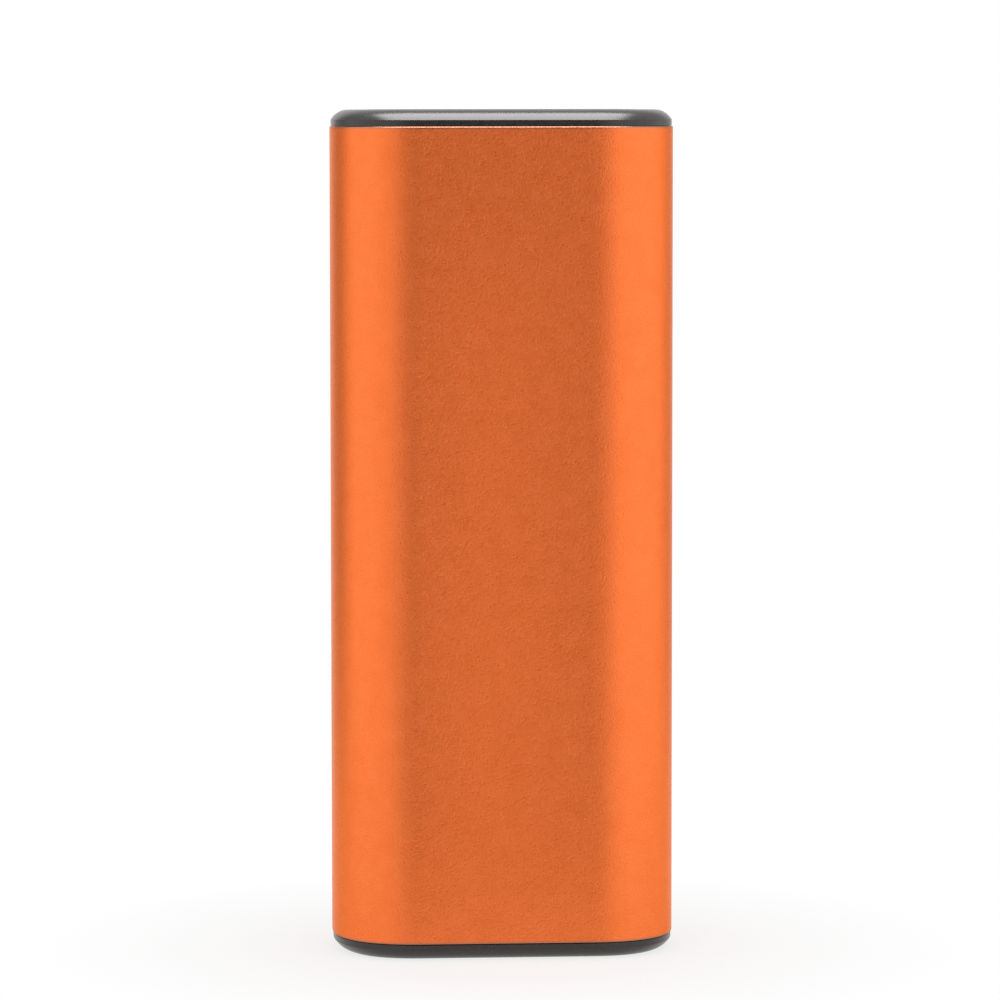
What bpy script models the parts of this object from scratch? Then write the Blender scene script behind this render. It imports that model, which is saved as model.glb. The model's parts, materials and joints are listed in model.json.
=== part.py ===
"""Rechargeable hand warmer: an anodised tube with two caps round cells, heaters and boards.

Metres, +Z up. The origin is the centre of the bottom cap's end face. The rear face looks
along -Y, the ports are in the bottom cap and the power button is in the top cap.
Every outer size follows from the two cells and from what lies between them and the tube.
"""
from math import ceil, cos, pi, radians, sin

import bmesh
import bpy
from mathutils import Vector

# Two 18650 cells side by side
CELL_RADIUS = 0.0092
CELL_LENGTH = 0.0652
CELL_GAP = 0.0003
WRAP_THICKNESS = 0.00015
WRAP_GAP = 0.00005
WRAP_LIP = 0.0012
CELL_CRIMP_HEIGHT = 0.0024
CELL_CRIMP_DEPTH = 0.0006
CELL_EDGE = 0.0005
TERMINAL_RADIUS = 0.0043
TERMINAL_BUTTON_RADIUS = 0.0029
TERMINAL_BASE = 0.0003
TERMINAL_HEIGHT = 0.0009
INSULATOR_EDGE = 0.0013
INSULATOR_THICKNESS = 0.0002
CAN_TOP_DROP = 0.0011

# Nickel strips that join the cells in parallel
STRIP_WIDTH = 0.007
STRIP_THICKNESS = 0.00015
STRIP_OVERHANG = 0.0035
STRIP_SLOT_WIDTH = 0.0008
STRIP_SLOT_LENGTH = 0.0032
NEGATIVE_STRIP_ROOM = 0.0006
POSITIVE_STRIP_ROOM = 0.001

# Moulded frame in two halves
CELL_CLEARANCE = 0.0002
FRAME_SIDE_WALL = 0.00125
FRAME_SKIN = 0.0008
FRAME_CLEARANCE = 0.0003
FRAME_SPLIT_GAP = 0.0003
ROOM_WALL = 0.0012
DECK_THICKNESS = 0.0015
LEAD_SLOT_HALF_WIDTH = 0.0011
LEAD_SLOT_DEPTH = 0.0065
BOSS_RADIUS = 0.002
BOSS_ROOT = 0.0005

# Heater sheets between the frame and the tube
SHEET_GAP = 0.0001
FOAM_THICKNESS = 0.0004
FILM_THICKNESS = 0.0002
TRACK_THICKNESS = 0.0001
FILM_EDGE = 0.00055
FILM_MARGIN = 0.0025
FILM_CORNER = 0.0012
TAIL_EDGE = 0.0016
TAIL_HALF_WIDTH = 0.0022
TAIL_DROP = 0.0008
TRACK_WIDTH = 0.0012
TRACK_PITCH = 0.0042
TRACK_MARGIN = 0.0015
FOAM_INSET = 0.0008
THERMISTOR_WIDTH = 0.0014
THERMISTOR_HEIGHT = 0.0022
THERMISTOR_DEPTH = 0.0011
THERMISTOR_CLEARANCE = 0.0005

# Extruded tube
TUBE_WALL = 0.0012
TUBE_CHAMFER = 0.00018
END_LENGTH = 0.01115
END_POWER = 2.4

# End caps
CAP_INSET = 0.00015
CAP_BAND = 0.00075
CROWN_HEIGHT = 0.00125
CROWN_DEPTH = 0.0035
RIM_WIDTH = 0.001
CAP_FLOOR = 0.002
SKIRT_LENGTH = 0.0058
SKIRT_WALL = 0.0012
SKIRT_CLEARANCE = 0.0001
SEAM_GAP = 0.00005

# Gloss plates in the caps
PLATE_THICKNESS = 0.0008
PLATE_RECESS = 0.0001
PLATE_CLEARANCE = 0.0001
PLATE_CHAMFER = 0.00015

# Self-tapping screws, M2
SCREW_HEAD_RADIUS = 0.0015
SCREW_HEAD_HEIGHT = 0.0009
SCREW_HEAD_EDGE = 0.0003
SCREW_SHANK_RADIUS = 0.0009
SCREW_LENGTH = 0.0062
SCREW_TIP = 0.0008
SCREW_CLEARANCE = 0.00015
SCREW_MARGIN = 0.0022
SCREW_CROSS_WIDTH = 0.0005
SCREW_CROSS_LENGTH = 0.0018
SCREW_CROSS_DEPTH = 0.0005

# Main board, which stands across the tube above the bottom cap
CONTACT_GAP = 0.0003
SOLDER_GAP = 0.0001
BOARD_THICKNESS = 0.0012
BOARD_EDGE = 0.0015
BOARD_SIDE_ROOM = 0.0018
BOARD_TOP_GAP = 0.0008
BOARD_SCREW_EDGE = 0.0037
BOARD_SCREW_DROP = 0.0032
BOARD_SCREW_LENGTH = 0.0042
BOARD_BOSS_ROOT_DEPTH = 0.0007

# Ports, whose mouths sit just inside the bottom plate
PORTS_MIDDLE_X = 0.0002
PORTS_SPACING = 0.0039
PORT_RECESS = 0.0003
PORT_CLEARANCE = 0.0002
USB_A_WIDTH = 0.0131
USB_A_HEIGHT = 0.0057
USB_A_LENGTH = 0.014
USB_A_WALL = 0.0003
USB_A_CORNER = 0.0007
USB_A_TONGUE_SIDE_GAP = 0.0007
USB_A_TONGUE_THICKNESS = 0.00184
USB_A_TONGUE_RECESS = 0.0012
USB_A_TONGUE_OFFSET = 0.0007
USB_A_BASE_LENGTH = 0.0035
USB_A_BASE_GAP = 0.0001
USB_A_CONTACT_COUNT = 4
USB_A_CONTACT_WIDTH = 0.001
USB_A_CONTACT_THICKNESS = 0.0002
USB_A_CONTACT_PITCH = 0.0023
USB_A_CONTACT_SETBACK = 0.0009
USB_A_CONTACT_GAP = 0.00005
MICRO_WIDTH = 0.0075
MICRO_HEIGHT = 0.0026
MICRO_LENGTH = 0.0052
MICRO_WALL = 0.0003
MICRO_CHAMFER = 0.0008
MICRO_TONGUE_WIDTH = 0.0041
MICRO_TONGUE_THICKNESS = 0.0006
MICRO_TONGUE_RECESS = 0.001
MICRO_TONGUE_OFFSET = 0.0005
MICRO_BASE_LENGTH = 0.0012

# Parts on the main board
COMPONENT_GAP = 0.0008
CHIP_SIZE = 0.004
CHIP_HEIGHT = 0.0009
INDUCTOR_SIZE = 0.006
INDUCTOR_HEIGHT = 0.0028
INDUCTOR_CORNER = 0.0014
CAPACITOR_RADIUS = 0.002
CAPACITOR_HEIGHT = 0.0054
CAPACITOR_BASE = 0.0008
CAPACITOR_NECK = 0.0003
SOCKET_WIDTH = 0.0046
SOCKET_DEPTH = 0.004
SOCKET_LENGTH = 0.005
SOCKET_HOLE_RADIUS = 0.0007
SOCKET_HOLE_DEPTH = 0.002
SOCKET_PITCH = 0.0018
SOCKET_EDGE = 0.0001

# Switch board, which lies across the tube under the top cap
SWITCH_ROOM = 0.006
SWITCH_BOARD_THICKNESS = 0.001
SWITCH_BOARD_SIDE_GAP = 0.0005
SWITCH_BOARD_CORNER = 0.0015
POST_RADIUS = 0.0013
POST_EDGE = 0.002
POST_ROOM = 0.0015
PEG_RADIUS = 0.0006
PEG_CLEARANCE = 0.0001
PEG_PROUD = 0.0005
TACT_SIZE = 0.006
TACT_HEIGHT = 0.002
TACT_CORNER = 0.0004
TACT_BORE_DEPTH = 0.0014
TACT_PLUNGER_RADIUS = 0.0017
TACT_PLUNGER_CLEARANCE = 0.0001
TACT_PLUNGER_PROUD = 0.0008
TACT_TRAVEL_ROOM = 0.0005

# Power button
BUTTON_SIDE_ROOM = 0.00355
BUTTON_WIDTH = 0.009
BUTTON_DEPTH = 0.0055
BUTTON_CLEARANCE = 0.00015
BUTTON_EDGE = 0.0003
BUTTON_RECESS = 0.0001
BUTTON_DISH = 0.0003
BUTTON_DISH_MARGIN = 0.0009
BUTTON_FLANGE = 0.001
BUTTON_FLANGE_THICKNESS = 0.0009

# Charge lights and the clear guide above them
LED_COUNT = 4
GUIDE_SIDE_GAP = 0.00145
LED_PITCH = 0.0028
LED_LENGTH = 0.0016
LED_WIDTH = 0.0008
LED_HEIGHT = 0.0006
PILLAR_RADIUS = 0.00075
PILLAR_CLEARANCE = 0.0001
PILLAR_RECESS = 0.00005
GUIDE_BAR_WIDTH = 0.0026
GUIDE_BAR_THICKNESS = 0.0008
GUIDE_BAR_OVERHANG = 0.0005

# Leads
LEAD_RADIUS = 0.00055
HEATER_LEAD_RADIUS = 0.0005
CABLE_RADIUS = 0.0008
LEAD_CLEARANCE = 0.0003

# Roundness of the meshes
END_SEGMENTS = 16
CROWN_SEGMENTS = 5
ROUND_SEGMENTS = 28
SMALL_SEGMENTS = 12
CORNER_SEGMENTS = 4
LEAD_BEVEL_RESOLUTION = 2
LEAD_POINT_SPACING_SHARE = 6.0
CUT_OVERRUN = 0.002
SMOOTH_ANGLE = radians(35)

# Section, from the cells outwards
CELL_X = CELL_RADIUS + CELL_GAP / 2
INSULATOR_RADIUS = CELL_RADIUS - INSULATOR_EDGE
BED_RADIUS = CELL_RADIUS + CELL_CLEARANCE
FRAME_INSET = TUBE_WALL + FRAME_CLEARANCE
HALF_WIDTH = CELL_X + BED_RADIUS + FRAME_SIDE_WALL + FRAME_INSET
FRAME_FLAT_Y = BED_RADIUS + FRAME_SKIN
FOAM_Y = FRAME_FLAT_Y + SHEET_GAP
FILM_Y = FOAM_Y + FOAM_THICKNESS + SHEET_GAP
TRACK_Y = FILM_Y + FILM_THICKNESS + SHEET_GAP
TUBE_INNER_Y = TRACK_Y + TRACK_THICKNESS + SHEET_GAP
HALF_DEPTH = TUBE_INNER_Y + TUBE_WALL
FLAT_HALF_WIDTH = HALF_WIDTH - END_LENGTH

# Heights, from the bottom cap's end to the top cap's end
CAP_HEIGHT = CROWN_HEIGHT + CAP_BAND
POCKET_DEPTH = PLATE_RECESS + PLATE_THICKNESS + SOLDER_GAP
FLOOR_DEPTH = POCKET_DEPTH + CAP_FLOOR
PORT_Z = PLATE_RECESS + PORT_RECESS
BOARD_BOTTOM_Z = FLOOR_DEPTH + CONTACT_GAP
USB_A_BACK_Z = PORT_Z + USB_A_LENGTH
CAPACITOR_Z = USB_A_BACK_Z + COMPONENT_GAP + CAPACITOR_RADIUS
BOARD_TOP_Z = CAPACITOR_Z + CAPACITOR_RADIUS + BOARD_EDGE
LOWER_DECK_Z = BOARD_TOP_Z + BOARD_TOP_GAP
BED_BOTTOM_Z = LOWER_DECK_Z + DECK_THICKNESS
CELL_BOTTOM_Z = BED_BOTTOM_Z + NEGATIVE_STRIP_ROOM
CELL_TOP_Z = CELL_BOTTOM_Z + CELL_LENGTH
BED_TOP_Z = CELL_TOP_Z + POSITIVE_STRIP_ROOM
UPPER_DECK_Z = BED_TOP_Z + DECK_THICKNESS
FRAME_TOP_Z = UPPER_DECK_Z + SWITCH_ROOM
SWITCH_BOARD_Z = FRAME_TOP_Z + SOLDER_GAP
SWITCH_FACE_Z = SWITCH_BOARD_Z + SWITCH_BOARD_THICKNESS + SOLDER_GAP
TACT_TOP_Z = SWITCH_FACE_Z + TACT_HEIGHT
FLANGE_BOTTOM_Z = TACT_TOP_Z + TACT_PLUNGER_PROUD + SOLDER_GAP
FLANGE_TOP_Z = FLANGE_BOTTOM_Z + BUTTON_FLANGE_THICKNESS
HEIGHT = FLANGE_TOP_Z + CONTACT_GAP + FLOOR_DEPTH
TUBE_BOTTOM_Z = CAP_HEIGHT + SEAM_GAP
TUBE_TOP_Z = HEIGHT - TUBE_BOTTOM_Z
SKIRT_DEPTH = CAP_HEIGHT + SKIRT_LENGTH
FRAME_BOTTOM_Z = SKIRT_DEPTH + CONTACT_GAP
BUTTON_FACE_Z = HEIGHT - PLATE_RECESS - BUTTON_RECESS

# Insets of the caps' rings
RIM_INSET = CAP_INSET + CROWN_DEPTH
POCKET_INSET = RIM_INSET + RIM_WIDTH
PLATE_INSET = POCKET_INSET + PLATE_CLEARANCE
SKIRT_INSET = TUBE_WALL + SKIRT_CLEARANCE

# Places of the screws, which clear the ports
SCREW_X = HALF_WIDTH - PLATE_INSET - SCREW_HEAD_RADIUS - SCREW_MARGIN
SCREW_Y = USB_A_HEIGHT / 2 + CONTACT_GAP + BOSS_RADIUS
BOTTOM_SCREWS = ((-SCREW_X, SCREW_Y), (SCREW_X, SCREW_Y))
TOP_SCREWS = ((-SCREW_X, SCREW_Y), (SCREW_X, -SCREW_Y))

# Faces of the main board: the parts stand on its front face
BOARD_FRONT_Y = -USB_A_HEIGHT / 2 - SOLDER_GAP
BOARD_REAR_Y = BOARD_FRONT_Y - BOARD_THICKNESS
PARTS_Y = BOARD_FRONT_Y + SOLDER_GAP
MICRO_Y = PARTS_Y + MICRO_HEIGHT / 2
ROOM_FLAT_Y = FRAME_FLAT_Y - ROOM_WALL

# Places across the main board
BOARD_HALF_WIDTH = HALF_WIDTH - SKIRT_INSET - SKIRT_WALL - BOARD_SIDE_ROOM
BOARD_SCREW_X = BOARD_HALF_WIDTH - BOARD_SCREW_EDGE
BOARD_SCREW_Z = BOARD_TOP_Z - BOARD_SCREW_DROP
PORTS_HALF_WIDTH = (USB_A_WIDTH + PORTS_SPACING + MICRO_WIDTH) / 2
USB_A_X = PORTS_MIDDLE_X - PORTS_HALF_WIDTH + USB_A_WIDTH / 2
MICRO_X = PORTS_MIDDLE_X + PORTS_HALF_WIDTH - MICRO_WIDTH / 2
SOCKET_X = BOARD_HALF_WIDTH - SOCKET_EDGE - SOCKET_WIDTH / 2
SOCKET_TOP_Z = PORT_Z + MICRO_LENGTH + COMPONENT_GAP + SOCKET_LENGTH
INDUCTOR_X = SOCKET_X - SOCKET_WIDTH / 2 - COMPONENT_GAP - INDUCTOR_SIZE / 2

# Places on the heaters
FILM_HALF_WIDTH = FLAT_HALF_WIDTH - FILM_EDGE
TAIL_CENTRE_X = FILM_HALF_WIDTH - TAIL_EDGE - TAIL_HALF_WIDTH

# Places across the switch board
SWITCH_BOARD_HALF_WIDTH = SCREW_X - BOSS_RADIUS - SWITCH_BOARD_SIDE_GAP
SWITCH_BOARD_HALF_DEPTH = TACT_SIZE / 2 + POST_ROOM + POST_EDGE
POST_X = SWITCH_BOARD_HALF_WIDTH - POST_EDGE
POST_Y = SWITCH_BOARD_HALF_DEPTH - POST_EDGE
BUTTON_X = BUTTON_SIDE_ROOM - SWITCH_BOARD_HALF_WIDTH
GUIDE_REACH = PILLAR_RADIUS + GUIDE_BAR_OVERHANG
LED_FIRST_X = BUTTON_X + BUTTON_WIDTH / 2 + BUTTON_FLANGE + GUIDE_SIDE_GAP + GUIDE_REACH


def clear_scene():
    """Remove every object of the starting scene."""
    for item in list(bpy.data.objects):
        bpy.data.objects.remove(item, do_unlink=True)


def finish(name, colour, roughness, metallic=0.0):
    """Make one Principled material."""
    material = bpy.data.materials.new(name)
    material.use_nodes = True
    shader = material.node_tree.nodes["Principled BSDF"]
    shader.inputs["Base Color"].default_value = (*colour, 1.0)
    shader.inputs["Roughness"].default_value = roughness
    shader.inputs["Metallic"].default_value = metallic
    return material


def add_object(name, mesh, material=None):
    """Link a mesh to the scene as a smooth-shaded object."""
    mesh.shade_smooth()
    mesh.set_sharp_from_angle(angle=SMOOTH_ANGLE)
    item = bpy.data.objects.new(name, mesh)
    bpy.context.scene.collection.objects.link(item)
    if material is not None:
        mesh.materials.append(material)
    return item


def skin(name, rings, material=None, closed=False):
    """Join rings of equally many points with quads, and fill the first and last unless closed."""
    shape = bmesh.new()
    loops = [[shape.verts.new(point) for point in ring] for ring in rings]
    pairs = list(zip(loops, loops[1:]))
    if closed:
        pairs.append((loops[-1], loops[0]))
    else:
        shape.faces.new(loops[0])
        shape.faces.new(loops[-1])
    for low, high in pairs:
        for index in range(len(low)):
            after = (index + 1) % len(low)
            shape.faces.new((low[index], low[after], high[after], high[index]))
    bmesh.ops.recalc_face_normals(shape, faces=shape.faces)
    mesh = bpy.data.meshes.new(name)
    shape.to_mesh(mesh)
    shape.free()
    return add_object(name, mesh, material)


def placed(u, v, w, axis):
    """Turn a point of a flat outline at height w into a point in space."""
    return (u, v, w) if axis == "Z" else (u, w, v)


def prism(name, outline, low, high, material=None, axis="Z"):
    """Extrude a flat outline, given as (x, y) for axis Z and (x, z) for axis Y."""
    rings = [[placed(u, v, w, axis) for u, v in outline] for w in (low, high)]
    return skin(name, rings, material)


def circle(radius, count, u=0.0, v=0.0):
    """Return a round outline."""
    turn = 2 * pi / count
    return [(u + radius * cos(k * turn), v + radius * sin(k * turn)) for k in range(count)]


def turned(name, profile, u, v, material=None, axis="Z", count=SMALL_SEGMENTS):
    """Turn a profile of (radius, height) pairs about a line through (u, v) along the axis."""
    rings = []
    for radius, height in profile:
        rings.append([placed(x, y, height, axis) for x, y in circle(radius, count, u, v)])
    return skin(name, rings, material)


def rounded_rectangle(width, depth, corner, u=0.0, v=0.0):
    """Return a rectangle's outline with round corners."""
    points = []
    for number, (sx, sy) in enumerate(((1, 1), (-1, 1), (-1, -1), (1, -1))):
        for step in range(CORNER_SEGMENTS + 1):
            angle = (number + step / CORNER_SEGMENTS) * pi / 2
            x = sx * (width / 2 - corner) + corner * cos(angle)
            y = sy * (depth / 2 - corner) + corner * sin(angle)
            points.append((u + x, v + y))
    return points


def rectangle(width, depth, u=0.0, v=0.0):
    """Return a rectangle's outline."""
    signs = ((1, 1), (-1, 1), (-1, -1), (1, -1))
    return [(u + sx * width / 2, v + sy * depth / 2) for sx, sy in signs]


def capsule(width, depth, u=0.0):
    """Return an outline with half-round ends, for the button and what it passes through."""
    points = []
    radius = depth / 2
    for side in (1, -1):
        for step in range(SMALL_SEGMENTS + 1):
            angle = step / SMALL_SEGMENTS * pi - side * pi / 2
            x = side * (width / 2 - radius) + radius * cos(angle)
            points.append((u + x, radius * sin(angle)))
    return points


def power(value, exponent):
    """Raise a value's size to a power and keep its sign."""
    return abs(value) ** exponent * (1 if value >= 0 else -1)


def section(inset=0.0, flat=None):
    """Return the tube's section drawn in by inset, and cut off at y = flat on both faces."""
    points = []
    for side in (1, -1):
        for step in range(END_SEGMENTS + 1):
            angle = step / END_SEGMENTS * pi - pi / 2
            across, along = side * cos(angle), side * sin(angle)
            normal = Vector((power(across, 2 - 2 / END_POWER) / END_LENGTH,
                             power(along, 2 - 2 / END_POWER) / HALF_DEPTH)).normalized()
            x = side * FLAT_HALF_WIDTH + END_LENGTH * power(across, 2 / END_POWER) - inset * normal.x
            y = HALF_DEPTH * power(along, 2 / END_POWER) - inset * normal.y
            if flat is not None:
                y = max(-flat, min(flat, y))
            points.append((x, y))
    return points


def lofted(name, rings, material=None, closed=False):
    """Join sections of the tube, given as (inset, z) pairs."""
    return skin(name, [[(x, y, z) for x, y in section(inset)] for inset, z in rings],
                material, closed)


def combine(target, tool, operation):
    """Add a Boolean to the target and hide the tool."""
    tool.hide_render = True
    tool.display_type = "WIRE"
    modifier = target.modifiers.new(tool.name, "BOOLEAN")
    modifier.operation = operation
    modifier.object = tool


def cut(target, *tools):
    """Cut each tool out of the target."""
    for tool in tools:
        combine(target, tool, "DIFFERENCE")


def join(target, *tools):
    """Fuse each tool to the target."""
    for tool in tools:
        combine(target, tool, "UNION")


def smooth_route(points):
    """Return a smooth curve's points through a lead's route."""
    route = [Vector(point) for point in points]
    ends = [2 * route[0] - route[1]] + route + [2 * route[-1] - route[-2]]
    curve = [route[0]]
    for before, start, end, after in zip(ends, ends[1:], ends[2:], ends[3:]):
        reach = (end - start).length
        leave = (end - before).normalized() * reach
        arrive = (after - start).normalized() * reach
        count = ceil(reach / (LEAD_POINT_SPACING_SHARE * LEAD_RADIUS))
        for step in range(1, count + 1):
            t = step / count
            curve.append(start * (2 * t ** 3 - 3 * t ** 2 + 1) + leave * (t ** 3 - 2 * t ** 2 + t)
                         + end * (3 * t ** 2 - 2 * t ** 3) + arrive * (t ** 3 - t ** 2))
    return curve


def lead(name, points, radius, material):
    """Make an insulated lead along a smooth route."""
    curve = bpy.data.curves.new(name, "CURVE")
    curve.dimensions = "3D"
    curve.bevel_depth = radius
    curve.bevel_resolution = LEAD_BEVEL_RESOLUTION
    curve.use_fill_caps = True
    route = smooth_route(points)
    spline = curve.splines.new("POLY")
    spline.points.add(len(route) - 1)
    for point, place in zip(spline.points, route):
        point.co = (*place, 1.0)
    curve.materials.append(material)
    item = bpy.data.objects.new(name, curve)
    bpy.context.scene.collection.objects.link(item)


def cross(width, length, u, v):
    """Return a plus-shaped outline for a screw's recess."""
    w, r = width / 2, length / 2
    arm = ((r, -w), (r, w), (w, w), (w, r), (-w, r), (-w, w),
           (-r, w), (-r, -w), (-w, -w), (-w, -r), (w, -r), (w, -w))
    return [(u + x, v + y) for x, y in arm]


def screw(name, u, v, seat, length, direction, material, axis="Z"):
    """Make a pan-head screw whose head rests at seat and whose shank runs along direction."""
    profile = ((SCREW_HEAD_RADIUS - SCREW_HEAD_EDGE, -SCREW_HEAD_HEIGHT),
               (SCREW_HEAD_RADIUS, -SCREW_HEAD_HEIGHT + SCREW_HEAD_EDGE),
               (SCREW_HEAD_RADIUS, 0.0),
               (SCREW_SHANK_RADIUS, 0.0),
               (SCREW_SHANK_RADIUS, length - SCREW_TIP),
               (SCREW_SHANK_RADIUS / 2, length))
    stations = [(radius, seat + direction * height) for radius, height in profile]
    body = turned(name, stations, u, v, material, axis)
    face = seat - direction * SCREW_HEAD_HEIGHT
    recess = prism("cut_" + name, cross(SCREW_CROSS_WIDTH, SCREW_CROSS_LENGTH, u, v),
                   face - direction * CUT_OVERRUN, face + direction * SCREW_CROSS_DEPTH, axis=axis)
    cut(body, recess)


def make_sleeve(material):
    """The extruded tube, chamfered at both ends."""
    inner = TUBE_WALL - TUBE_CHAMFER
    rings = ((TUBE_CHAMFER, TUBE_BOTTOM_Z), (0.0, TUBE_BOTTOM_Z + TUBE_CHAMFER),
             (0.0, TUBE_TOP_Z - TUBE_CHAMFER), (TUBE_CHAMFER, TUBE_TOP_Z),
             (inner, TUBE_TOP_Z), (TUBE_WALL, TUBE_TOP_Z - TUBE_CHAMFER),
             (TUBE_WALL, TUBE_BOTTOM_Z + TUBE_CHAMFER), (inner, TUBE_BOTTOM_Z))
    lofted("outer_sleeve", rings, material, closed=True)


def cap_rings():
    """Return the cap's rings as (inset, depth), from the plate's pocket round to its inside."""
    rings = [(POCKET_INSET, POCKET_DEPTH), (POCKET_INSET, 0.0), (RIM_INSET, 0.0)]
    for step in range(1, CROWN_SEGMENTS + 1):
        angle = step / CROWN_SEGMENTS * pi / 2
        rings.append((CAP_INSET + CROWN_DEPTH * (1 - sin(angle)), CROWN_HEIGHT * (1 - cos(angle))))
    rings += [(CAP_INSET, CAP_HEIGHT), (SKIRT_INSET, CAP_HEIGHT), (SKIRT_INSET, SKIRT_DEPTH),
              (SKIRT_INSET + SKIRT_WALL, SKIRT_DEPTH), (SKIRT_INSET + SKIRT_WALL, FLOOR_DEPTH)]
    return rings


def from_end(depth, top):
    """Turn a depth below a cap's end face into a height."""
    return HEIGHT - depth if top else depth


def screw_hole(name, u, v, top):
    """The counterbored hole of one cap screw."""
    seat = POCKET_DEPTH + SCREW_HEAD_HEIGHT + SCREW_CLEARANCE
    head = SCREW_HEAD_RADIUS + SCREW_CLEARANCE
    shank = SCREW_SHANK_RADIUS + SCREW_CLEARANCE
    profile = ((head, POCKET_DEPTH - CUT_OVERRUN), (head, seat), (shank, seat),
               (shank, FLOOR_DEPTH + CUT_OVERRUN))
    return turned("cut_" + name, [(r, from_end(depth, top)) for r, depth in profile], u, v)


def make_plate(name, top, material):
    """A gloss plate that lies in its cap's pocket."""
    outer, inner = PLATE_RECESS, PLATE_RECESS + PLATE_THICKNESS
    rings = ((PLATE_INSET + PLATE_CHAMFER, outer), (PLATE_INSET, outer + PLATE_CHAMFER),
             (PLATE_INSET, inner))
    return lofted(name, [(inset, from_end(depth, top)) for inset, depth in rings], material)


def cap_screws(end, places, top, material):
    """The screws of one cap, seated in their counterbores."""
    seat = POCKET_DEPTH + SCREW_HEAD_HEIGHT
    for number, (x, y) in enumerate(places, start=1):
        screw(f"{end}_cap_screw_{number}", x, y, from_end(seat, top), SCREW_LENGTH,
              -1 if top else 1, material)


def port_outlines(growth):
    """Return both ports' outer outlines, grown by a clearance."""
    return {"usb_a": rounded_rectangle(USB_A_WIDTH + 2 * growth, USB_A_HEIGHT + 2 * growth,
                                       USB_A_CORNER, USB_A_X),
            "micro_usb": micro_outline(growth)}


def micro_outline(growth):
    """Return the micro port's outline, whose two front corners are cut off."""
    half, rear = MICRO_WIDTH / 2 + growth, -MICRO_HEIGHT / 2 - growth
    front = -rear
    points = ((half, rear), (half, front - MICRO_CHAMFER), (half - MICRO_CHAMFER, front),
              (MICRO_CHAMFER - half, front), (-half, front - MICRO_CHAMFER), (-half, rear))
    return [(MICRO_X + x, MICRO_Y + y) for x, y in points]


def make_bottom_end(cap_material, plate_material, screw_material):
    """The bottom cap and plate, with their port openings and screws."""
    cap = lofted("bottom_cap", cap_rings(), cap_material)
    plate = make_plate("bottom_plate", False, plate_material)
    for port, outline in port_outlines(PORT_CLEARANCE).items():
        opening = prism("cut_opening_" + port, outline, -CUT_OVERRUN, FLOOR_DEPTH + CUT_OVERRUN)
        cut(cap, opening)
        cut(plate, opening)
    for number, (x, y) in enumerate(BOTTOM_SCREWS, start=1):
        cut(cap, screw_hole(f"bottom_hole_{number}", x, y, False))
    cap_screws("bottom", BOTTOM_SCREWS, False, screw_material)


def led_places():
    """Return the x of each charge light."""
    return [LED_FIRST_X + number * LED_PITCH for number in range(LED_COUNT)]


def make_top_end(cap_material, plate_material, screw_material):
    """The top cap and plate, with the button's opening and the lights' windows."""
    cap = lofted("top_cap", [(inset, HEIGHT - depth) for inset, depth in cap_rings()], cap_material)
    plate = make_plate("top_plate", True, plate_material)
    low, high = HEIGHT - FLOOR_DEPTH - CUT_OVERRUN, HEIGHT + CUT_OVERRUN
    width, depth = BUTTON_WIDTH + 2 * BUTTON_CLEARANCE, BUTTON_DEPTH + 2 * BUTTON_CLEARANCE
    tools = [prism("cut_opening_button", capsule(width, depth, BUTTON_X), low, high)]
    for number, x in enumerate(led_places(), start=1):
        window = circle(PILLAR_RADIUS + PILLAR_CLEARANCE, SMALL_SEGMENTS, x)
        tools.append(prism(f"cut_window_{number}", window, low, high))
    cut(cap, *tools)
    cut(plate, *tools)
    for number, (x, y) in enumerate(TOP_SCREWS, start=1):
        cut(cap, screw_hole(f"top_hole_{number}", x, y, True))
    cap_screws("top", TOP_SCREWS, True, screw_material)


def pilot(name, u, v, low, high, axis="Z"):
    """The pilot hole that a screw's shank runs in."""
    outline = circle(SCREW_SHANK_RADIUS + SOLDER_GAP, SMALL_SEGMENTS, u, v)
    return prism("cut_pilot_" + name, outline, low, high, axis=axis)


def make_frame(name, side, material):
    """One half of the frame: side is 1 for the front half and -1 for the rear half."""
    half = prism(name, section(FRAME_INSET, FRAME_FLAT_Y), FRAME_BOTTOM_Z, FRAME_TOP_Z, material)
    room = section(FRAME_INSET + ROOM_WALL, ROOM_FLAT_Y)
    width, depth = 2 * (HALF_WIDTH + CUT_OVERRUN), HALF_DEPTH + CUT_OVERRUN
    split = rectangle(width, depth, 0.0, side * (FRAME_SPLIT_GAP - depth) / 2)
    slot_depth = LEAD_SLOT_DEPTH + CUT_OVERRUN
    slot = rectangle(2 * LEAD_SLOT_HALF_WIDTH, slot_depth, 0.0, side * (LEAD_SLOT_DEPTH - slot_depth / 2))
    cut(half,
        prism(f"cut_{name}_board_room", room, FRAME_BOTTOM_Z - CUT_OVERRUN, LOWER_DECK_Z),
        prism(f"cut_{name}_switch_room", room, UPPER_DECK_Z, FRAME_TOP_Z + CUT_OVERRUN))
    for label, x in (("left", -CELL_X), ("right", CELL_X)):
        cut(half, prism(f"cut_{name}_bed_{label}", circle(BED_RADIUS, ROUND_SEGMENTS, x),
                        BED_BOTTOM_Z, BED_TOP_Z))
    cut(half,
        prism(f"cut_{name}_split", split, FRAME_BOTTOM_Z - CUT_OVERRUN, FRAME_TOP_Z + CUT_OVERRUN),
        prism(f"cut_{name}_slot", slot, LOWER_DECK_Z - CUT_OVERRUN, UPPER_DECK_Z + CUT_OVERRUN))
    make_sheet_pockets(half, side)
    make_switch_posts(half, side)
    return half


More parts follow.
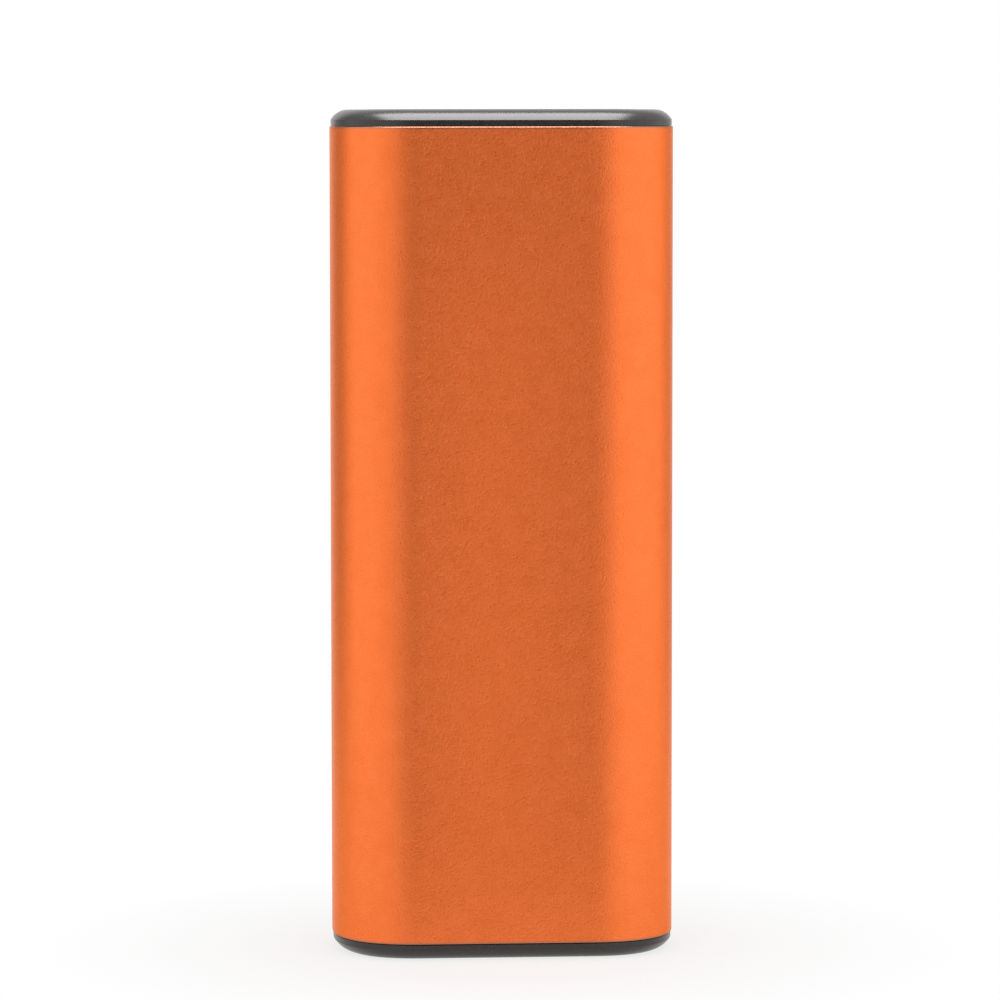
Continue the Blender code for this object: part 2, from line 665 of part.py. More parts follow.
def make_sheet_pockets(half, side):
    """The thermistor's pocket and the hole for the heater's lead."""
    pocket = rectangle(THERMISTOR_WIDTH + 2 * THERMISTOR_CLEARANCE,
                       THERMISTOR_HEIGHT + 2 * THERMISTOR_CLEARANCE, 0.0, thermistor_z())
    floor = FILM_Y - SHEET_GAP - THERMISTOR_DEPTH - THERMISTOR_CLEARANCE
    hole = circle(HEATER_LEAD_RADIUS + LEAD_CLEARANCE, SMALL_SEGMENTS, TAIL_CENTRE_X, tail_lead_z())
    cut(half,
        prism(f"cut_{half.name}_pocket", pocket, side * floor,
              side * (FRAME_FLAT_Y + CUT_OVERRUN), axis="Y"),
        prism(f"cut_{half.name}_lead_hole", hole, side * (ROOM_FLAT_Y - CUT_OVERRUN),
              side * (FRAME_FLAT_Y + CUT_OVERRUN), axis="Y"))


def make_switch_posts(half, side):
    """Two posts that carry the switch board, each with a locating peg."""
    for x in (-POST_X, POST_X):
        profile = ((POST_RADIUS, UPPER_DECK_Z - BOSS_ROOT), (POST_RADIUS, FRAME_TOP_Z),
                   (PEG_RADIUS, FRAME_TOP_Z),
                   (PEG_RADIUS, SWITCH_FACE_Z - SOLDER_GAP + PEG_PROUD))
        label = "left" if x < 0 else "right"
        join(half, turned(f"add_{half.name}_post_{label}", profile, x, side * POST_Y))


def add_boss(half, label, u, v, low, high, hole_low, hole_high, axis="Z"):
    """Fuse a screw boss to the frame and drill its pilot hole."""
    outline = circle(BOSS_RADIUS, SMALL_SEGMENTS, u, v)
    join(half, prism(f"add_{half.name}_{label}", outline, low, high, axis=axis))
    cut(half, pilot(f"{half.name}_{label}", u, v, hole_low, hole_high, axis))


def make_frames(material):
    """Both halves of the frame with their screw bosses."""
    front = make_frame("frame_front", 1, material)
    rear = make_frame("frame_rear", -1, material)
    bottom = FLOOR_DEPTH + CONTACT_GAP
    top = HEIGHT - FLOOR_DEPTH - CONTACT_GAP
    reach = SCREW_LENGTH + CUT_OVERRUN
    for number, (x, y) in enumerate(BOTTOM_SCREWS, start=1):
        add_boss(front, f"bottom_boss_{number}", x, y, bottom, LOWER_DECK_Z + BOSS_ROOT,
                 bottom - CUT_OVERRUN, bottom + reach)
    for half, (x, y) in zip((front, rear), TOP_SCREWS):
        add_boss(half, "top_boss", x, y, UPPER_DECK_Z - BOSS_ROOT, top,
                 top - reach, top + CUT_OVERRUN)
    for label, x in (("left", -BOARD_SCREW_X), ("right", BOARD_SCREW_X)):
        add_boss(rear, f"board_boss_{label}", x, BOARD_SCREW_Z,
                 BOARD_BOSS_ROOT_DEPTH - FRAME_FLAT_Y, BOARD_REAR_Y - SOLDER_GAP,
                 BOARD_BOSS_ROOT_DEPTH - FRAME_FLAT_Y + ROOM_WALL, BOARD_REAR_Y + CUT_OVERRUN, "Y")


def make_cell(side_name, x, can_material, wrap_material, ring_material):
    """One cell: its can, its shrink wrap, its positive cap and its insulating ring."""
    can_radius = CELL_RADIUS - WRAP_THICKNESS - WRAP_GAP
    can_bottom = CELL_BOTTOM_Z + WRAP_THICKNESS + WRAP_GAP
    can_top = CELL_TOP_Z - CAN_TOP_DROP
    crimp = can_top - CELL_CRIMP_HEIGHT
    can = ((can_radius - CELL_EDGE, can_bottom), (can_radius, can_bottom + CELL_EDGE),
           (can_radius, crimp - CELL_CRIMP_DEPTH), (can_radius - CELL_CRIMP_DEPTH, crimp),
           (can_radius, crimp + CELL_CRIMP_DEPTH), (can_radius, can_top - CELL_EDGE),
           (can_radius - CELL_EDGE, can_top))
    turned(f"cell_{side_name}_can", can, x, 0.0, can_material, count=ROUND_SEGMENTS)
    ring_low = can_top + SOLDER_GAP
    base = ((TERMINAL_RADIUS, ring_low), (TERMINAL_RADIUS, ring_low + TERMINAL_BASE),
            (TERMINAL_BUTTON_RADIUS, ring_low + TERMINAL_BASE),
            (TERMINAL_BUTTON_RADIUS, ring_low + TERMINAL_HEIGHT))
    turned(f"cell_{side_name}_terminal", base, x, 0.0, can_material)
    bore = TERMINAL_RADIUS + CONTACT_GAP
    ring = ((INSULATOR_RADIUS, ring_low), (INSULATOR_RADIUS, ring_low + INSULATOR_THICKNESS),
            (bore, ring_low + INSULATOR_THICKNESS), (bore, ring_low))
    hollow_turned(f"cell_{side_name}_insulator", ring, x, ring_material, SMALL_SEGMENTS)
    wrap_top = ring_low + INSULATOR_THICKNESS + WRAP_GAP + WRAP_THICKNESS
    inner = can_radius + WRAP_GAP
    wrap = ((CELL_RADIUS - WRAP_LIP, CELL_BOTTOM_Z), (CELL_RADIUS, CELL_BOTTOM_Z),
            (CELL_RADIUS, wrap_top), (INSULATOR_RADIUS - WRAP_LIP, wrap_top),
            (INSULATOR_RADIUS - WRAP_LIP, wrap_top - WRAP_THICKNESS), (inner, wrap_top - WRAP_THICKNESS),
            (inner, CELL_BOTTOM_Z + WRAP_THICKNESS),
            (CELL_RADIUS - WRAP_LIP, CELL_BOTTOM_Z + WRAP_THICKNESS))
    hollow_turned(f"cell_{side_name}_wrap", wrap, x, wrap_material, ROUND_SEGMENTS)


def hollow_turned(name, profile, x, material, count):
    """Turn a closed profile about a cell's axis into a ring."""
    rings = [[(u, v, z) for u, v in circle(radius, count, x)] for radius, z in profile]
    skin(name, rings, material, closed=True)


def make_strip(name, low, material):
    """A nickel strip across both cells, with a weld slot over each."""
    width = 2 * (CELL_X + STRIP_OVERHANG)
    outline = rounded_rectangle(width, STRIP_WIDTH, STRIP_WIDTH / 4)
    strip = prism(name, outline, low, low + STRIP_THICKNESS, material)
    for label, x in (("left", -CELL_X), ("right", CELL_X)):
        slot = rectangle(STRIP_SLOT_LENGTH, STRIP_SLOT_WIDTH, x)
        cut(strip, prism(f"cut_{name}_{label}", slot, low - CUT_OVERRUN, low + CUT_OVERRUN))


def film_span():
    """Return the heater's lowest and highest z."""
    return CELL_BOTTOM_Z + FILM_MARGIN, CELL_TOP_Z - FILM_MARGIN


def thermistor_z():
    """Return the thermistor's height, halfway up the film."""
    return sum(film_span()) / 2


def tail_bottom_z():
    """Return the lower end of the film's tail."""
    return LOWER_DECK_Z - 2 * TAIL_HALF_WIDTH - 2 * TAIL_DROP


def tail_lead_z():
    """Return the height of the lead at the film's tail."""
    return tail_bottom_z() + TAIL_HALF_WIDTH


def film_outline():
    """Return the film's outline with its tail, which reaches down to the board room."""
    low, high = film_span()
    left, right = TAIL_CENTRE_X - TAIL_HALF_WIDTH, TAIL_CENTRE_X + TAIL_HALF_WIDTH
    end = tail_bottom_z()
    return [(-FILM_HALF_WIDTH, low), (left, low), (left, end), (right, end), (right, low),
            (FILM_HALF_WIDTH, low), (FILM_HALF_WIDTH, high - FILM_CORNER),
            (FILM_HALF_WIDTH - FILM_CORNER, high), (FILM_CORNER - FILM_HALF_WIDTH, high),
            (-FILM_HALF_WIDTH, high - FILM_CORNER)]


def ribbon_outline(path, width):
    """Return the outline of a ribbon of constant width along a path with square corners."""
    sides = ([], [])
    for index, (x, z) in enumerate(path):
        here = Vector((x, z))
        into = here - Vector(path[index - 1]) if index else Vector(path[1]) - here
        out = Vector(path[index + 1]) - here if index + 1 < len(path) else into
        into, out = into.normalized(), out.normalized()
        across = Vector((-into.y - out.y, into.x + out.x))
        across = across * width / across.dot(across)
        sides[0].append(tuple(here + across))
        sides[1].append(tuple(here - across))
    return sides[0] + sides[1][::-1]


def track_path():
    """Return the heater track's route: up the film in passes from side to side."""
    low, high = film_span()
    edge = FILM_HALF_WIDTH - TRACK_MARGIN
    low, high = low + TRACK_MARGIN, high - TRACK_MARGIN
    passes = int((high - low) / TRACK_PITCH)
    path = []
    for number in range(passes + 1):
        z = low + number * TRACK_PITCH
        ends = (-edge, edge) if number % 2 == 0 else (edge, -edge)
        path += [(ends[0], z), (ends[1], z)]
    return path


def make_heater(label, side, film_material, track_material, foam_material, bead_material):
    """The heating film of one face, with its track, its foam backing and its thermistor."""
    low, high = film_span()
    foam_shape = rectangle(2 * (FILM_HALF_WIDTH - FOAM_INSET), high - low - 2 * FOAM_INSET,
                           0.0, thermistor_z())
    foam = prism(f"foam_pad_{label}", foam_shape, side * FOAM_Y, side * (FOAM_Y + FOAM_THICKNESS),
                 foam_material, axis="Y")
    window = rectangle(THERMISTOR_WIDTH + 2 * THERMISTOR_CLEARANCE,
                       THERMISTOR_HEIGHT + 2 * THERMISTOR_CLEARANCE, 0.0, thermistor_z())
    cut(foam, prism(f"cut_foam_window_{label}", window, side * (FOAM_Y - CUT_OVERRUN),
                    side * (FOAM_Y + CUT_OVERRUN), axis="Y"))
    prism(f"heater_film_{label}", film_outline(), side * FILM_Y, side * (FILM_Y + FILM_THICKNESS),
          film_material, axis="Y")
    prism(f"heater_track_{label}", ribbon_outline(track_path(), TRACK_WIDTH), side * TRACK_Y,
          side * (TRACK_Y + TRACK_THICKNESS), track_material, axis="Y")
    bead = rounded_rectangle(THERMISTOR_WIDTH, THERMISTOR_HEIGHT, THERMISTOR_WIDTH / 3,
                             0.0, thermistor_z())
    face = FILM_Y - SHEET_GAP
    prism(f"thermistor_{label}", bead, side * (face - THERMISTOR_DEPTH), side * face,
          bead_material, axis="Y")


def make_main_board(board_material, screw_material):
    """The main board, held by two screws in the rear half of the frame."""
    height, middle = BOARD_TOP_Z - BOARD_BOTTOM_Z, (BOARD_BOTTOM_Z + BOARD_TOP_Z) / 2
    board = prism("main_board", rectangle(2 * BOARD_HALF_WIDTH, height, 0.0, middle),
                  BOARD_REAR_Y, BOARD_FRONT_Y, board_material, axis="Y")
    for number, x in enumerate((-BOARD_SCREW_X, BOARD_SCREW_X), start=1):
        hole = circle(SCREW_SHANK_RADIUS + SCREW_CLEARANCE, SMALL_SEGMENTS, x, BOARD_SCREW_Z)
        cut(board, prism(f"cut_board_hole_{number}", hole, BOARD_REAR_Y - CUT_OVERRUN,
                         BOARD_FRONT_Y + CUT_OVERRUN, axis="Y"))
        screw(f"board_screw_{number}", x, BOARD_SCREW_Z, BOARD_FRONT_Y + SOLDER_GAP,
              BOARD_SCREW_LENGTH, -1, screw_material, axis="Y")


def make_usb_a(shell_material, tongue_material, contact_material):
    """The output port: a folded shell, a tongue with its base, and four contacts."""
    shell = prism("usb_a_shell", rounded_rectangle(USB_A_WIDTH, USB_A_HEIGHT, USB_A_CORNER, USB_A_X),
                  PORT_Z, USB_A_BACK_Z, shell_material)
    inside = rounded_rectangle(USB_A_WIDTH - 2 * USB_A_WALL, USB_A_HEIGHT - 2 * USB_A_WALL,
                               USB_A_CORNER - USB_A_WALL, USB_A_X)
    cut(shell, prism("cut_usb_a_inside", inside, PORT_Z - CUT_OVERRUN, USB_A_BACK_Z - USB_A_WALL))
    gap = USB_A_WALL + USB_A_BASE_GAP
    base_top = USB_A_BACK_Z - gap
    base_low = base_top - USB_A_BASE_LENGTH
    rear = -USB_A_HEIGHT / 2 + USB_A_WALL + USB_A_TONGUE_OFFSET
    front = rear + USB_A_TONGUE_THICKNESS
    tip = PORT_Z + USB_A_TONGUE_RECESS
    base = rounded_rectangle(USB_A_WIDTH - 2 * gap, USB_A_HEIGHT - 2 * gap, USB_A_CORNER - gap,
                             USB_A_X)
    block = prism("usb_a_tongue", base, base_low, base_top, tongue_material)
    width = USB_A_WIDTH - 2 * USB_A_WALL - 2 * USB_A_TONGUE_SIDE_GAP
    blade = rectangle(width, front - rear, USB_A_X, (front + rear) / 2)
    join(block, prism("add_usb_a_blade", blade, tip, base_low + USB_A_BASE_LENGTH / 2))
    for number in range(USB_A_CONTACT_COUNT):
        place = number - (USB_A_CONTACT_COUNT - 1) / 2
        y = front + USB_A_CONTACT_GAP + USB_A_CONTACT_THICKNESS / 2
        strip = rectangle(USB_A_CONTACT_WIDTH, USB_A_CONTACT_THICKNESS,
                          USB_A_X + place * USB_A_CONTACT_PITCH, y)
        prism(f"usb_a_contact_{number + 1}", strip, tip + USB_A_CONTACT_SETBACK,
              base_low - USB_A_BASE_GAP, contact_material)


def make_micro_usb(shell_material, tongue_material):
    """The input port: a folded shell and a small tongue on its base."""
    back = PORT_Z + MICRO_LENGTH
    shell = prism("micro_usb_shell", micro_outline(0.0), PORT_Z, back, shell_material)
    cut(shell, prism("cut_micro_inside", micro_outline(-MICRO_WALL), PORT_Z - CUT_OVERRUN,
                     back - MICRO_WALL))
    gap = MICRO_WALL + USB_A_BASE_GAP
    base_top = back - gap
    block = prism("micro_usb_tongue", micro_outline(-gap), base_top - MICRO_BASE_LENGTH, base_top,
                  tongue_material)
    y = MICRO_Y + MICRO_HEIGHT / 2 - MICRO_WALL - MICRO_TONGUE_OFFSET - MICRO_TONGUE_THICKNESS / 2
    blade = rectangle(MICRO_TONGUE_WIDTH, MICRO_TONGUE_THICKNESS, MICRO_X, y)
    join(block, prism("add_micro_blade", blade, PORT_Z + MICRO_TONGUE_RECESS,
                      base_top - MICRO_BASE_LENGTH / 2))


def make_components(chip_material, coil_material, can_material, socket_material):
    """The charge controller, the boost inductor, two capacitors and the battery socket."""
    chip_x = USB_A_X + USB_A_WIDTH / 2 + COMPONENT_GAP + CHIP_SIZE / 2
    prism("charge_controller", rectangle(CHIP_SIZE, CHIP_SIZE, chip_x, BOARD_SCREW_Z), PARTS_Y,
          PARTS_Y + CHIP_HEIGHT, chip_material, axis="Y")
    coil_z = PORT_Z + MICRO_LENGTH + COMPONENT_GAP + INDUCTOR_SIZE / 2
    prism("boost_inductor", rounded_rectangle(INDUCTOR_SIZE, INDUCTOR_SIZE, INDUCTOR_CORNER,
                                              INDUCTOR_X, coil_z),
          PARTS_Y, PARTS_Y + INDUCTOR_HEIGHT, coil_material, axis="Y")
    neck = CAPACITOR_RADIUS - CAPACITOR_NECK
    profile = ((CAPACITOR_RADIUS, PARTS_Y), (CAPACITOR_RADIUS, PARTS_Y + CAPACITOR_BASE),
               (neck, PARTS_Y + CAPACITOR_BASE + CAPACITOR_NECK),
               (CAPACITOR_RADIUS, PARTS_Y + CAPACITOR_BASE + 2 * CAPACITOR_NECK),
               (CAPACITOR_RADIUS, PARTS_Y + CAPACITOR_HEIGHT))
    step = COMPONENT_GAP + CAPACITOR_RADIUS
    first = SCREW_HEAD_RADIUS + step - BOARD_SCREW_X
    for number, x in enumerate((first, first + step + CAPACITOR_RADIUS), start=1):
        turned(f"output_capacitor_{number}", profile, x, CAPACITOR_Z, can_material, axis="Y")
    middle = PARTS_Y + SOCKET_DEPTH / 2
    socket = prism("battery_socket", rectangle(SOCKET_WIDTH, SOCKET_DEPTH, SOCKET_X, middle),
                   SOCKET_TOP_Z - SOCKET_LENGTH, SOCKET_TOP_Z, socket_material)
    for number, side in enumerate((-1, 1), start=1):
        x = SOCKET_X + side * SOCKET_PITCH / 2
        cut(socket, prism(f"cut_socket_{number}", circle(SOCKET_HOLE_RADIUS, SMALL_SEGMENTS, x, middle),
                          SOCKET_TOP_Z - SOCKET_HOLE_DEPTH, SOCKET_TOP_Z + CUT_OVERRUN))


def make_leads(red, black, grey, yellow):
    """The leads from the cells, the heaters and the switch board to the main board."""
    x, top = SOCKET_X, SOCKET_TOP_Z
    socket_y = PARTS_Y + SOCKET_DEPTH / 2
    half = SOCKET_PITCH / 2
    into = top - SOCKET_HOLE_DEPTH + CONTACT_GAP
    strip_edge = STRIP_WIDTH / 2 + LEAD_RADIUS + LEAD_CLEARANCE
    over = BED_TOP_Z
    front = LEAD_SLOT_DEPTH - LEAD_RADIUS - LEAD_CLEARANCE
    lead("battery_lead_positive",
         ((0.0, STRIP_WIDTH / 4, over), (0.0, strip_edge, over),
          (0.0, front, BED_TOP_Z - DECK_THICKNESS - POSITIVE_STRIP_ROOM),
          (0.0, front, BED_BOTTOM_Z), (0.0, front, LOWER_DECK_Z - BOARD_TOP_GAP),
          (x / 2, CHIP_SIZE / 2, BOARD_SCREW_Z - SCREW_HEAD_RADIUS),
          (x + half, 2 * LEAD_RADIUS, top + SOCKET_LENGTH / 2),
          (x + half, socket_y, top), (x + half, socket_y, into)),
         LEAD_RADIUS, red)
    strip_low = CELL_BOTTOM_Z - STRIP_THICKNESS - 2 * SOLDER_GAP
    lead("battery_lead_negative",
         ((0.0, STRIP_WIDTH / 4, strip_low), (0.0, STRIP_WIDTH / 4, LOWER_DECK_Z),
          (x / 2 - SOCKET_PITCH, 0.0, BOARD_SCREW_Z - SCREW_SHANK_RADIUS),
          (x - half, socket_y, top + SOCKET_LENGTH / 2),
          (x - half, socket_y, top), (x - half, socket_y, into)),
         LEAD_RADIUS, black)
    level = tail_lead_z()
    outer = FILM_Y - CONTACT_GAP
    lane = (USB_A_X + USB_A_WIDTH / 2 + INDUCTOR_X - INDUCTOR_SIZE / 2) / 2
    lead("heater_lead_front",
         ((TAIL_CENTRE_X, outer, level), (TAIL_CENTRE_X, ROOM_FLAT_Y - CONTACT_GAP, level),
          (lane + LEAD_RADIUS, PARTS_Y + CAPACITOR_HEIGHT, level - CHIP_SIZE),
          (lane, PARTS_Y + LEAD_RADIUS, level - INDUCTOR_SIZE)),
         HEATER_LEAD_RADIUS, yellow)
    lead("heater_lead_rear",
         ((TAIL_CENTRE_X, -outer, level), (TAIL_CENTRE_X, CONTACT_GAP - ROOM_FLAT_Y, level),
          (TAIL_CENTRE_X, BOARD_REAR_Y - 2 * CONTACT_GAP, level - 4 * LEAD_RADIUS)),
         HEATER_LEAD_RADIUS, yellow)
    back = CABLE_RADIUS + LEAD_CLEARANCE - LEAD_SLOT_DEPTH
    lead("switch_cable",
         ((0.0, back, SWITCH_BOARD_Z - SOLDER_GAP), (0.0, back, BED_TOP_Z),
          (0.0, back, BED_BOTTOM_Z), (0.0, back, BOARD_TOP_Z),
          (0.0, back, BOARD_SCREW_Z)),
         CABLE_RADIUS, grey)


def make_switch(board_material, body_material, plunger_material, led_material):
    """The switch board with its tactile switch and four charge lights."""
    outline = rounded_rectangle(2 * SWITCH_BOARD_HALF_WIDTH, 2 * SWITCH_BOARD_HALF_DEPTH,
                                SWITCH_BOARD_CORNER)
    top = SWITCH_BOARD_Z + SWITCH_BOARD_THICKNESS
    board = prism("switch_board", outline, SWITCH_BOARD_Z, top, board_material)
    number = 0
    for x in (-POST_X, POST_X):
        for y in (-POST_Y, POST_Y):
            number += 1
            hole = circle(PEG_RADIUS + PEG_CLEARANCE, SMALL_SEGMENTS, x, y)
            cut(board, prism(f"cut_peg_hole_{number}", hole, SWITCH_BOARD_Z - CUT_OVERRUN,
                             top + CUT_OVERRUN))
    body = prism("tact_switch_body", rounded_rectangle(TACT_SIZE, TACT_SIZE, TACT_CORNER, BUTTON_X),
                 SWITCH_FACE_Z, TACT_TOP_Z, body_material)
    bore = circle(TACT_PLUNGER_RADIUS + TACT_PLUNGER_CLEARANCE, SMALL_SEGMENTS, BUTTON_X)
    bore_floor = TACT_TOP_Z - TACT_BORE_DEPTH
    cut(body, prism("cut_tact_bore", bore, bore_floor, TACT_TOP_Z + CUT_OVERRUN))
    plunger = circle(TACT_PLUNGER_RADIUS, SMALL_SEGMENTS, BUTTON_X)
    prism("tact_switch_plunger", plunger, bore_floor + TACT_TRAVEL_ROOM,
          TACT_TOP_Z + TACT_PLUNGER_PROUD, plunger_material)
    for number, x in enumerate(led_places(), start=1):
        prism(f"status_led_{number}", rectangle(LED_WIDTH, LED_LENGTH, x), SWITCH_FACE_Z,
              SWITCH_FACE_Z + LED_HEIGHT, led_material)


def make_light_guide(material):
    """The clear guide: a bar under the cap with one pillar over each light."""
    places = led_places()
    width = places[-1] - places[0] + 2 * GUIDE_REACH
    bar_top = FLANGE_TOP_Z
    bar = prism("light_guide", rounded_rectangle(width, GUIDE_BAR_WIDTH, GUIDE_BAR_WIDTH / 4,
                                                 (places[0] + places[-1]) / 2),
                bar_top - GUIDE_BAR_THICKNESS, bar_top, material)
    for number, x in enumerate(places, start=1):
        pillar = circle(PILLAR_RADIUS, SMALL_SEGMENTS, x)
        join(bar, prism(f"add_pillar_{number}", pillar, SWITCH_FACE_Z + LED_HEIGHT + CONTACT_GAP,
                        HEIGHT - PLATE_RECESS - PILLAR_RECESS))


def make_button(material):
    """The power button: a flange under the cap and a dished head that fills its opening."""
    def ring(growth, z):
        return [(x, y, z) for x, y in capsule(BUTTON_WIDTH + 2 * growth, BUTTON_DEPTH + 2 * growth)]
    rings = [ring(BUTTON_FLANGE, FLANGE_BOTTOM_Z), ring(BUTTON_FLANGE, FLANGE_TOP_Z),
             ring(0.0, FLANGE_TOP_Z), ring(0.0, BUTTON_FACE_Z - BUTTON_EDGE),
             ring(-BUTTON_EDGE, BUTTON_FACE_Z), ring(-BUTTON_DISH_MARGIN, BUTTON_FACE_Z),
             ring(-BUTTON_DISH_MARGIN - BUTTON_DISH, BUTTON_FACE_Z - BUTTON_DISH)]
    rings = [[(x, y, z - FLANGE_TOP_Z) for x, y, z in points] for points in rings]
    button = skin("power_button", rings, material)
    button.location = (BUTTON_X, 0.0, FLANGE_TOP_Z)


def build():
    """Make every piece of the hand warmer."""
    clear_scene()
    orange = finish("anodised_orange", (0.80, 0.17, 0.03), 0.42, 1.0)
    black = finish("black_plastic", (0.02, 0.018, 0.017), 0.35)
    gloss = finish("gloss_black", (0.012, 0.012, 0.013), 0.08)
    button = finish("button_grey", (0.06, 0.06, 0.065), 0.45)
    steel = finish("zinc_steel", (0.62, 0.63, 0.65), 0.3, 1.0)
    nickel = finish("nickel", (0.72, 0.7, 0.66), 0.25, 1.0)
    frame = finish("frame_plastic", (0.55, 0.55, 0.53), 0.6)
    wrap = finish("cell_wrap", (0.02, 0.16, 0.42), 0.4)
    paper = finish("insulator_paper", (0.8, 0.8, 0.76), 0.8)
    film = finish("polyimide_film", (0.55, 0.22, 0.04), 0.35)
    copper = finish("copper_track", (0.72, 0.33, 0.2), 0.35, 1.0)
    foam = finish("foam", (0.08, 0.08, 0.085), 0.95)
    board = finish("board_green", (0.02, 0.16, 0.07), 0.5)
    chip = finish("chip_black", (0.02, 0.02, 0.02), 0.6)
    ferrite = finish("ferrite", (0.09, 0.09, 0.1), 0.7)
    aluminium = finish("capacitor_can", (0.75, 0.76, 0.78), 0.35, 1.0)
    white = finish("socket_white", (0.82, 0.8, 0.74), 0.5)
    clear = finish("clear_guide", (0.9, 0.92, 0.93), 0.1)
    light = finish("led_lens", (0.85, 0.83, 0.6), 0.3)
    brass = finish("contact_gold", (0.83, 0.6, 0.25), 0.25, 1.0)
    bead = finish("thermistor_bead", (0.1, 0.03, 0.02), 0.4)
    red = finish("lead_red", (0.6, 0.03, 0.02), 0.5)
    dark = finish("lead_black", (0.02, 0.02, 0.02), 0.5)
    grey = finish("cable_grey", (0.4, 0.4, 0.42), 0.5)
    yellow = finish("lead_yellow", (0.75, 0.5, 0.05), 0.5)
    make_sleeve(orange)
    make_bottom_end(black, gloss, steel)
    make_top_end(black, gloss, steel)
    make_frames(frame)
    for side_name, x in (("left", -CELL_X), ("right", CELL_X)):
        make_cell(side_name, x, steel, wrap, paper)
    make_strip("nickel_strip_negative", CELL_BOTTOM_Z - SOLDER_GAP - STRIP_THICKNESS, nickel)
    make_strip("nickel_strip_positive", CELL_TOP_Z + SOLDER_GAP, nickel)
    for label, side in (("front", 1), ("rear", -1)):
        make_heater(label, side, film, copper, foam, bead)
    make_main_board(board, steel)
    make_usb_a(nickel, white, brass)
    make_micro_usb(nickel, chip)
    make_components(chip, ferrite, aluminium, white)
    make_leads(red, dark, grey, yellow)
    make_switch(board, chip, white, light)
    make_light_guide(clear)
    make_button(button)


build()
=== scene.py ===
# %% [markdown]
# # A pocket hand warmer, built for the camera
# A rechargeable hand warmer is a flat-oval aluminium tube, cut from a long extrusion, with a
# moulded black cap pressed into each end. The engineering model is loaded first. It fixes every
# size and what moves with what, so each piece made here sits exactly where its plain one sits.

# %% The frame
import json
from math import atan, cos, exp, log, pi, radians, sin

import bmesh
import bpy
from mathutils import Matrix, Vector


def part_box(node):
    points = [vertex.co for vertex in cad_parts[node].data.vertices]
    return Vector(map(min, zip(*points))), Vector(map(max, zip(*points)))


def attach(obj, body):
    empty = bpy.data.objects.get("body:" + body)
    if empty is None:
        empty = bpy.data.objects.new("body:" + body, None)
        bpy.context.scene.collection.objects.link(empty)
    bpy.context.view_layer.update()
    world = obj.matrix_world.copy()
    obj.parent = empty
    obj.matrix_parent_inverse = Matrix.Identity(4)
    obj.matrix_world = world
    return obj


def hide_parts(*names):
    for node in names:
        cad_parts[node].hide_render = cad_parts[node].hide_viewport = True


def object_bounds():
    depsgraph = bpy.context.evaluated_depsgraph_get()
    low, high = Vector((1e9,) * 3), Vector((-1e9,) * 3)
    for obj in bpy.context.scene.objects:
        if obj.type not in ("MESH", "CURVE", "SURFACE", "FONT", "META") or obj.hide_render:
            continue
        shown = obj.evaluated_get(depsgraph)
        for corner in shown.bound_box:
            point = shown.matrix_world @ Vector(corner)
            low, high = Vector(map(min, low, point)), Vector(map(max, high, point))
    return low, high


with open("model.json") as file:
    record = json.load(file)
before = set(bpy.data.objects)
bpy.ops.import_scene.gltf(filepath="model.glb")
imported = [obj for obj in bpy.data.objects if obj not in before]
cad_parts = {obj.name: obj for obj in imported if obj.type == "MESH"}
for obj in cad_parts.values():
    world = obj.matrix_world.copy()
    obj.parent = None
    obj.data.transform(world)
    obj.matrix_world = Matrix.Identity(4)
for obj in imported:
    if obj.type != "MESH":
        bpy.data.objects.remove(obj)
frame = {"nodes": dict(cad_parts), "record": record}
frame_low, frame_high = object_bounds()
MM = 0.001
print("frame, mm:", [round(side / MM, 2) for side in frame_high - frame_low])

# %% Which pieces share a finish
finishes = {}
for row in frame["record"]["subparts"]:
    finishes.setdefault(row["material_slot"], []).append(frame["nodes"][row["node"]])


def fitted(piece, body, slot, *nodes):
    """Let a piece ride on a body, take its finish from a slot and stand for plain nodes."""
    # The large flat faces lead the shading of the fine rounds beside them.
    with_modifier(piece, "WEIGHTED_NORMAL", mode="FACE_AREA", weight=100, keep_sharp=True)
    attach(piece, body)
    if nodes:
        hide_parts(*nodes)
    finishes[slot].append(piece)


print(len(finishes), "finishes")

# %% [markdown]
# ## Tools of the bench
# Everything is modelled as by hand: a primitive is added, opened in edit mode, and pushed into
# shape with inset, extrude and bevel. The same few moves come back for each piece, so they get
# a name each. Faces are picked by where they are and which way they look, because a script has
# no mouse.

# %% Opening, picking and closing a piece
SMOOTH_ANGLE, SHARP_ANGLE = 35, 50  # degrees between faces: shaded smooth below, rounded above
STEEP = 0.9  # the least upward part of the normal of a face that looks up


def opened(name):
    """Name the primitive that was just added and open it in edit mode, all of it selected."""
    piece = bpy.context.object
    piece.name = piece.data.name = name
    bpy.ops.object.mode_set(mode="EDIT")
    bpy.ops.mesh.select_all(action="SELECT")
    return piece


def pick(piece, wanted, kind="FACE"):
    """Select only the faces or points whose place and direction are wanted."""
    bpy.ops.mesh.select_mode(type=kind)
    bpy.ops.mesh.select_all(action="DESELECT")
    mesh = bmesh.from_edit_mesh(piece.data)
    if kind == "FACE":
        found = [face for face in mesh.faces if wanted(face.calc_center_median(), face.normal)]
    else:
        found = [point for point in mesh.verts if wanted(point.co, point.normal)]
    for item in found:
        item.select_set(True)
    mesh.select_flush_mode()
    bmesh.update_edit_mesh(piece.data)


def looks_up(place, normal):
    """Tell whether a face looks up."""
    return normal.z > STEEP


def looks_down(place, normal):
    """Tell whether a face looks down."""
    return normal.z < -STEEP


def any_face(place, normal):
    """Want every face."""
    return True


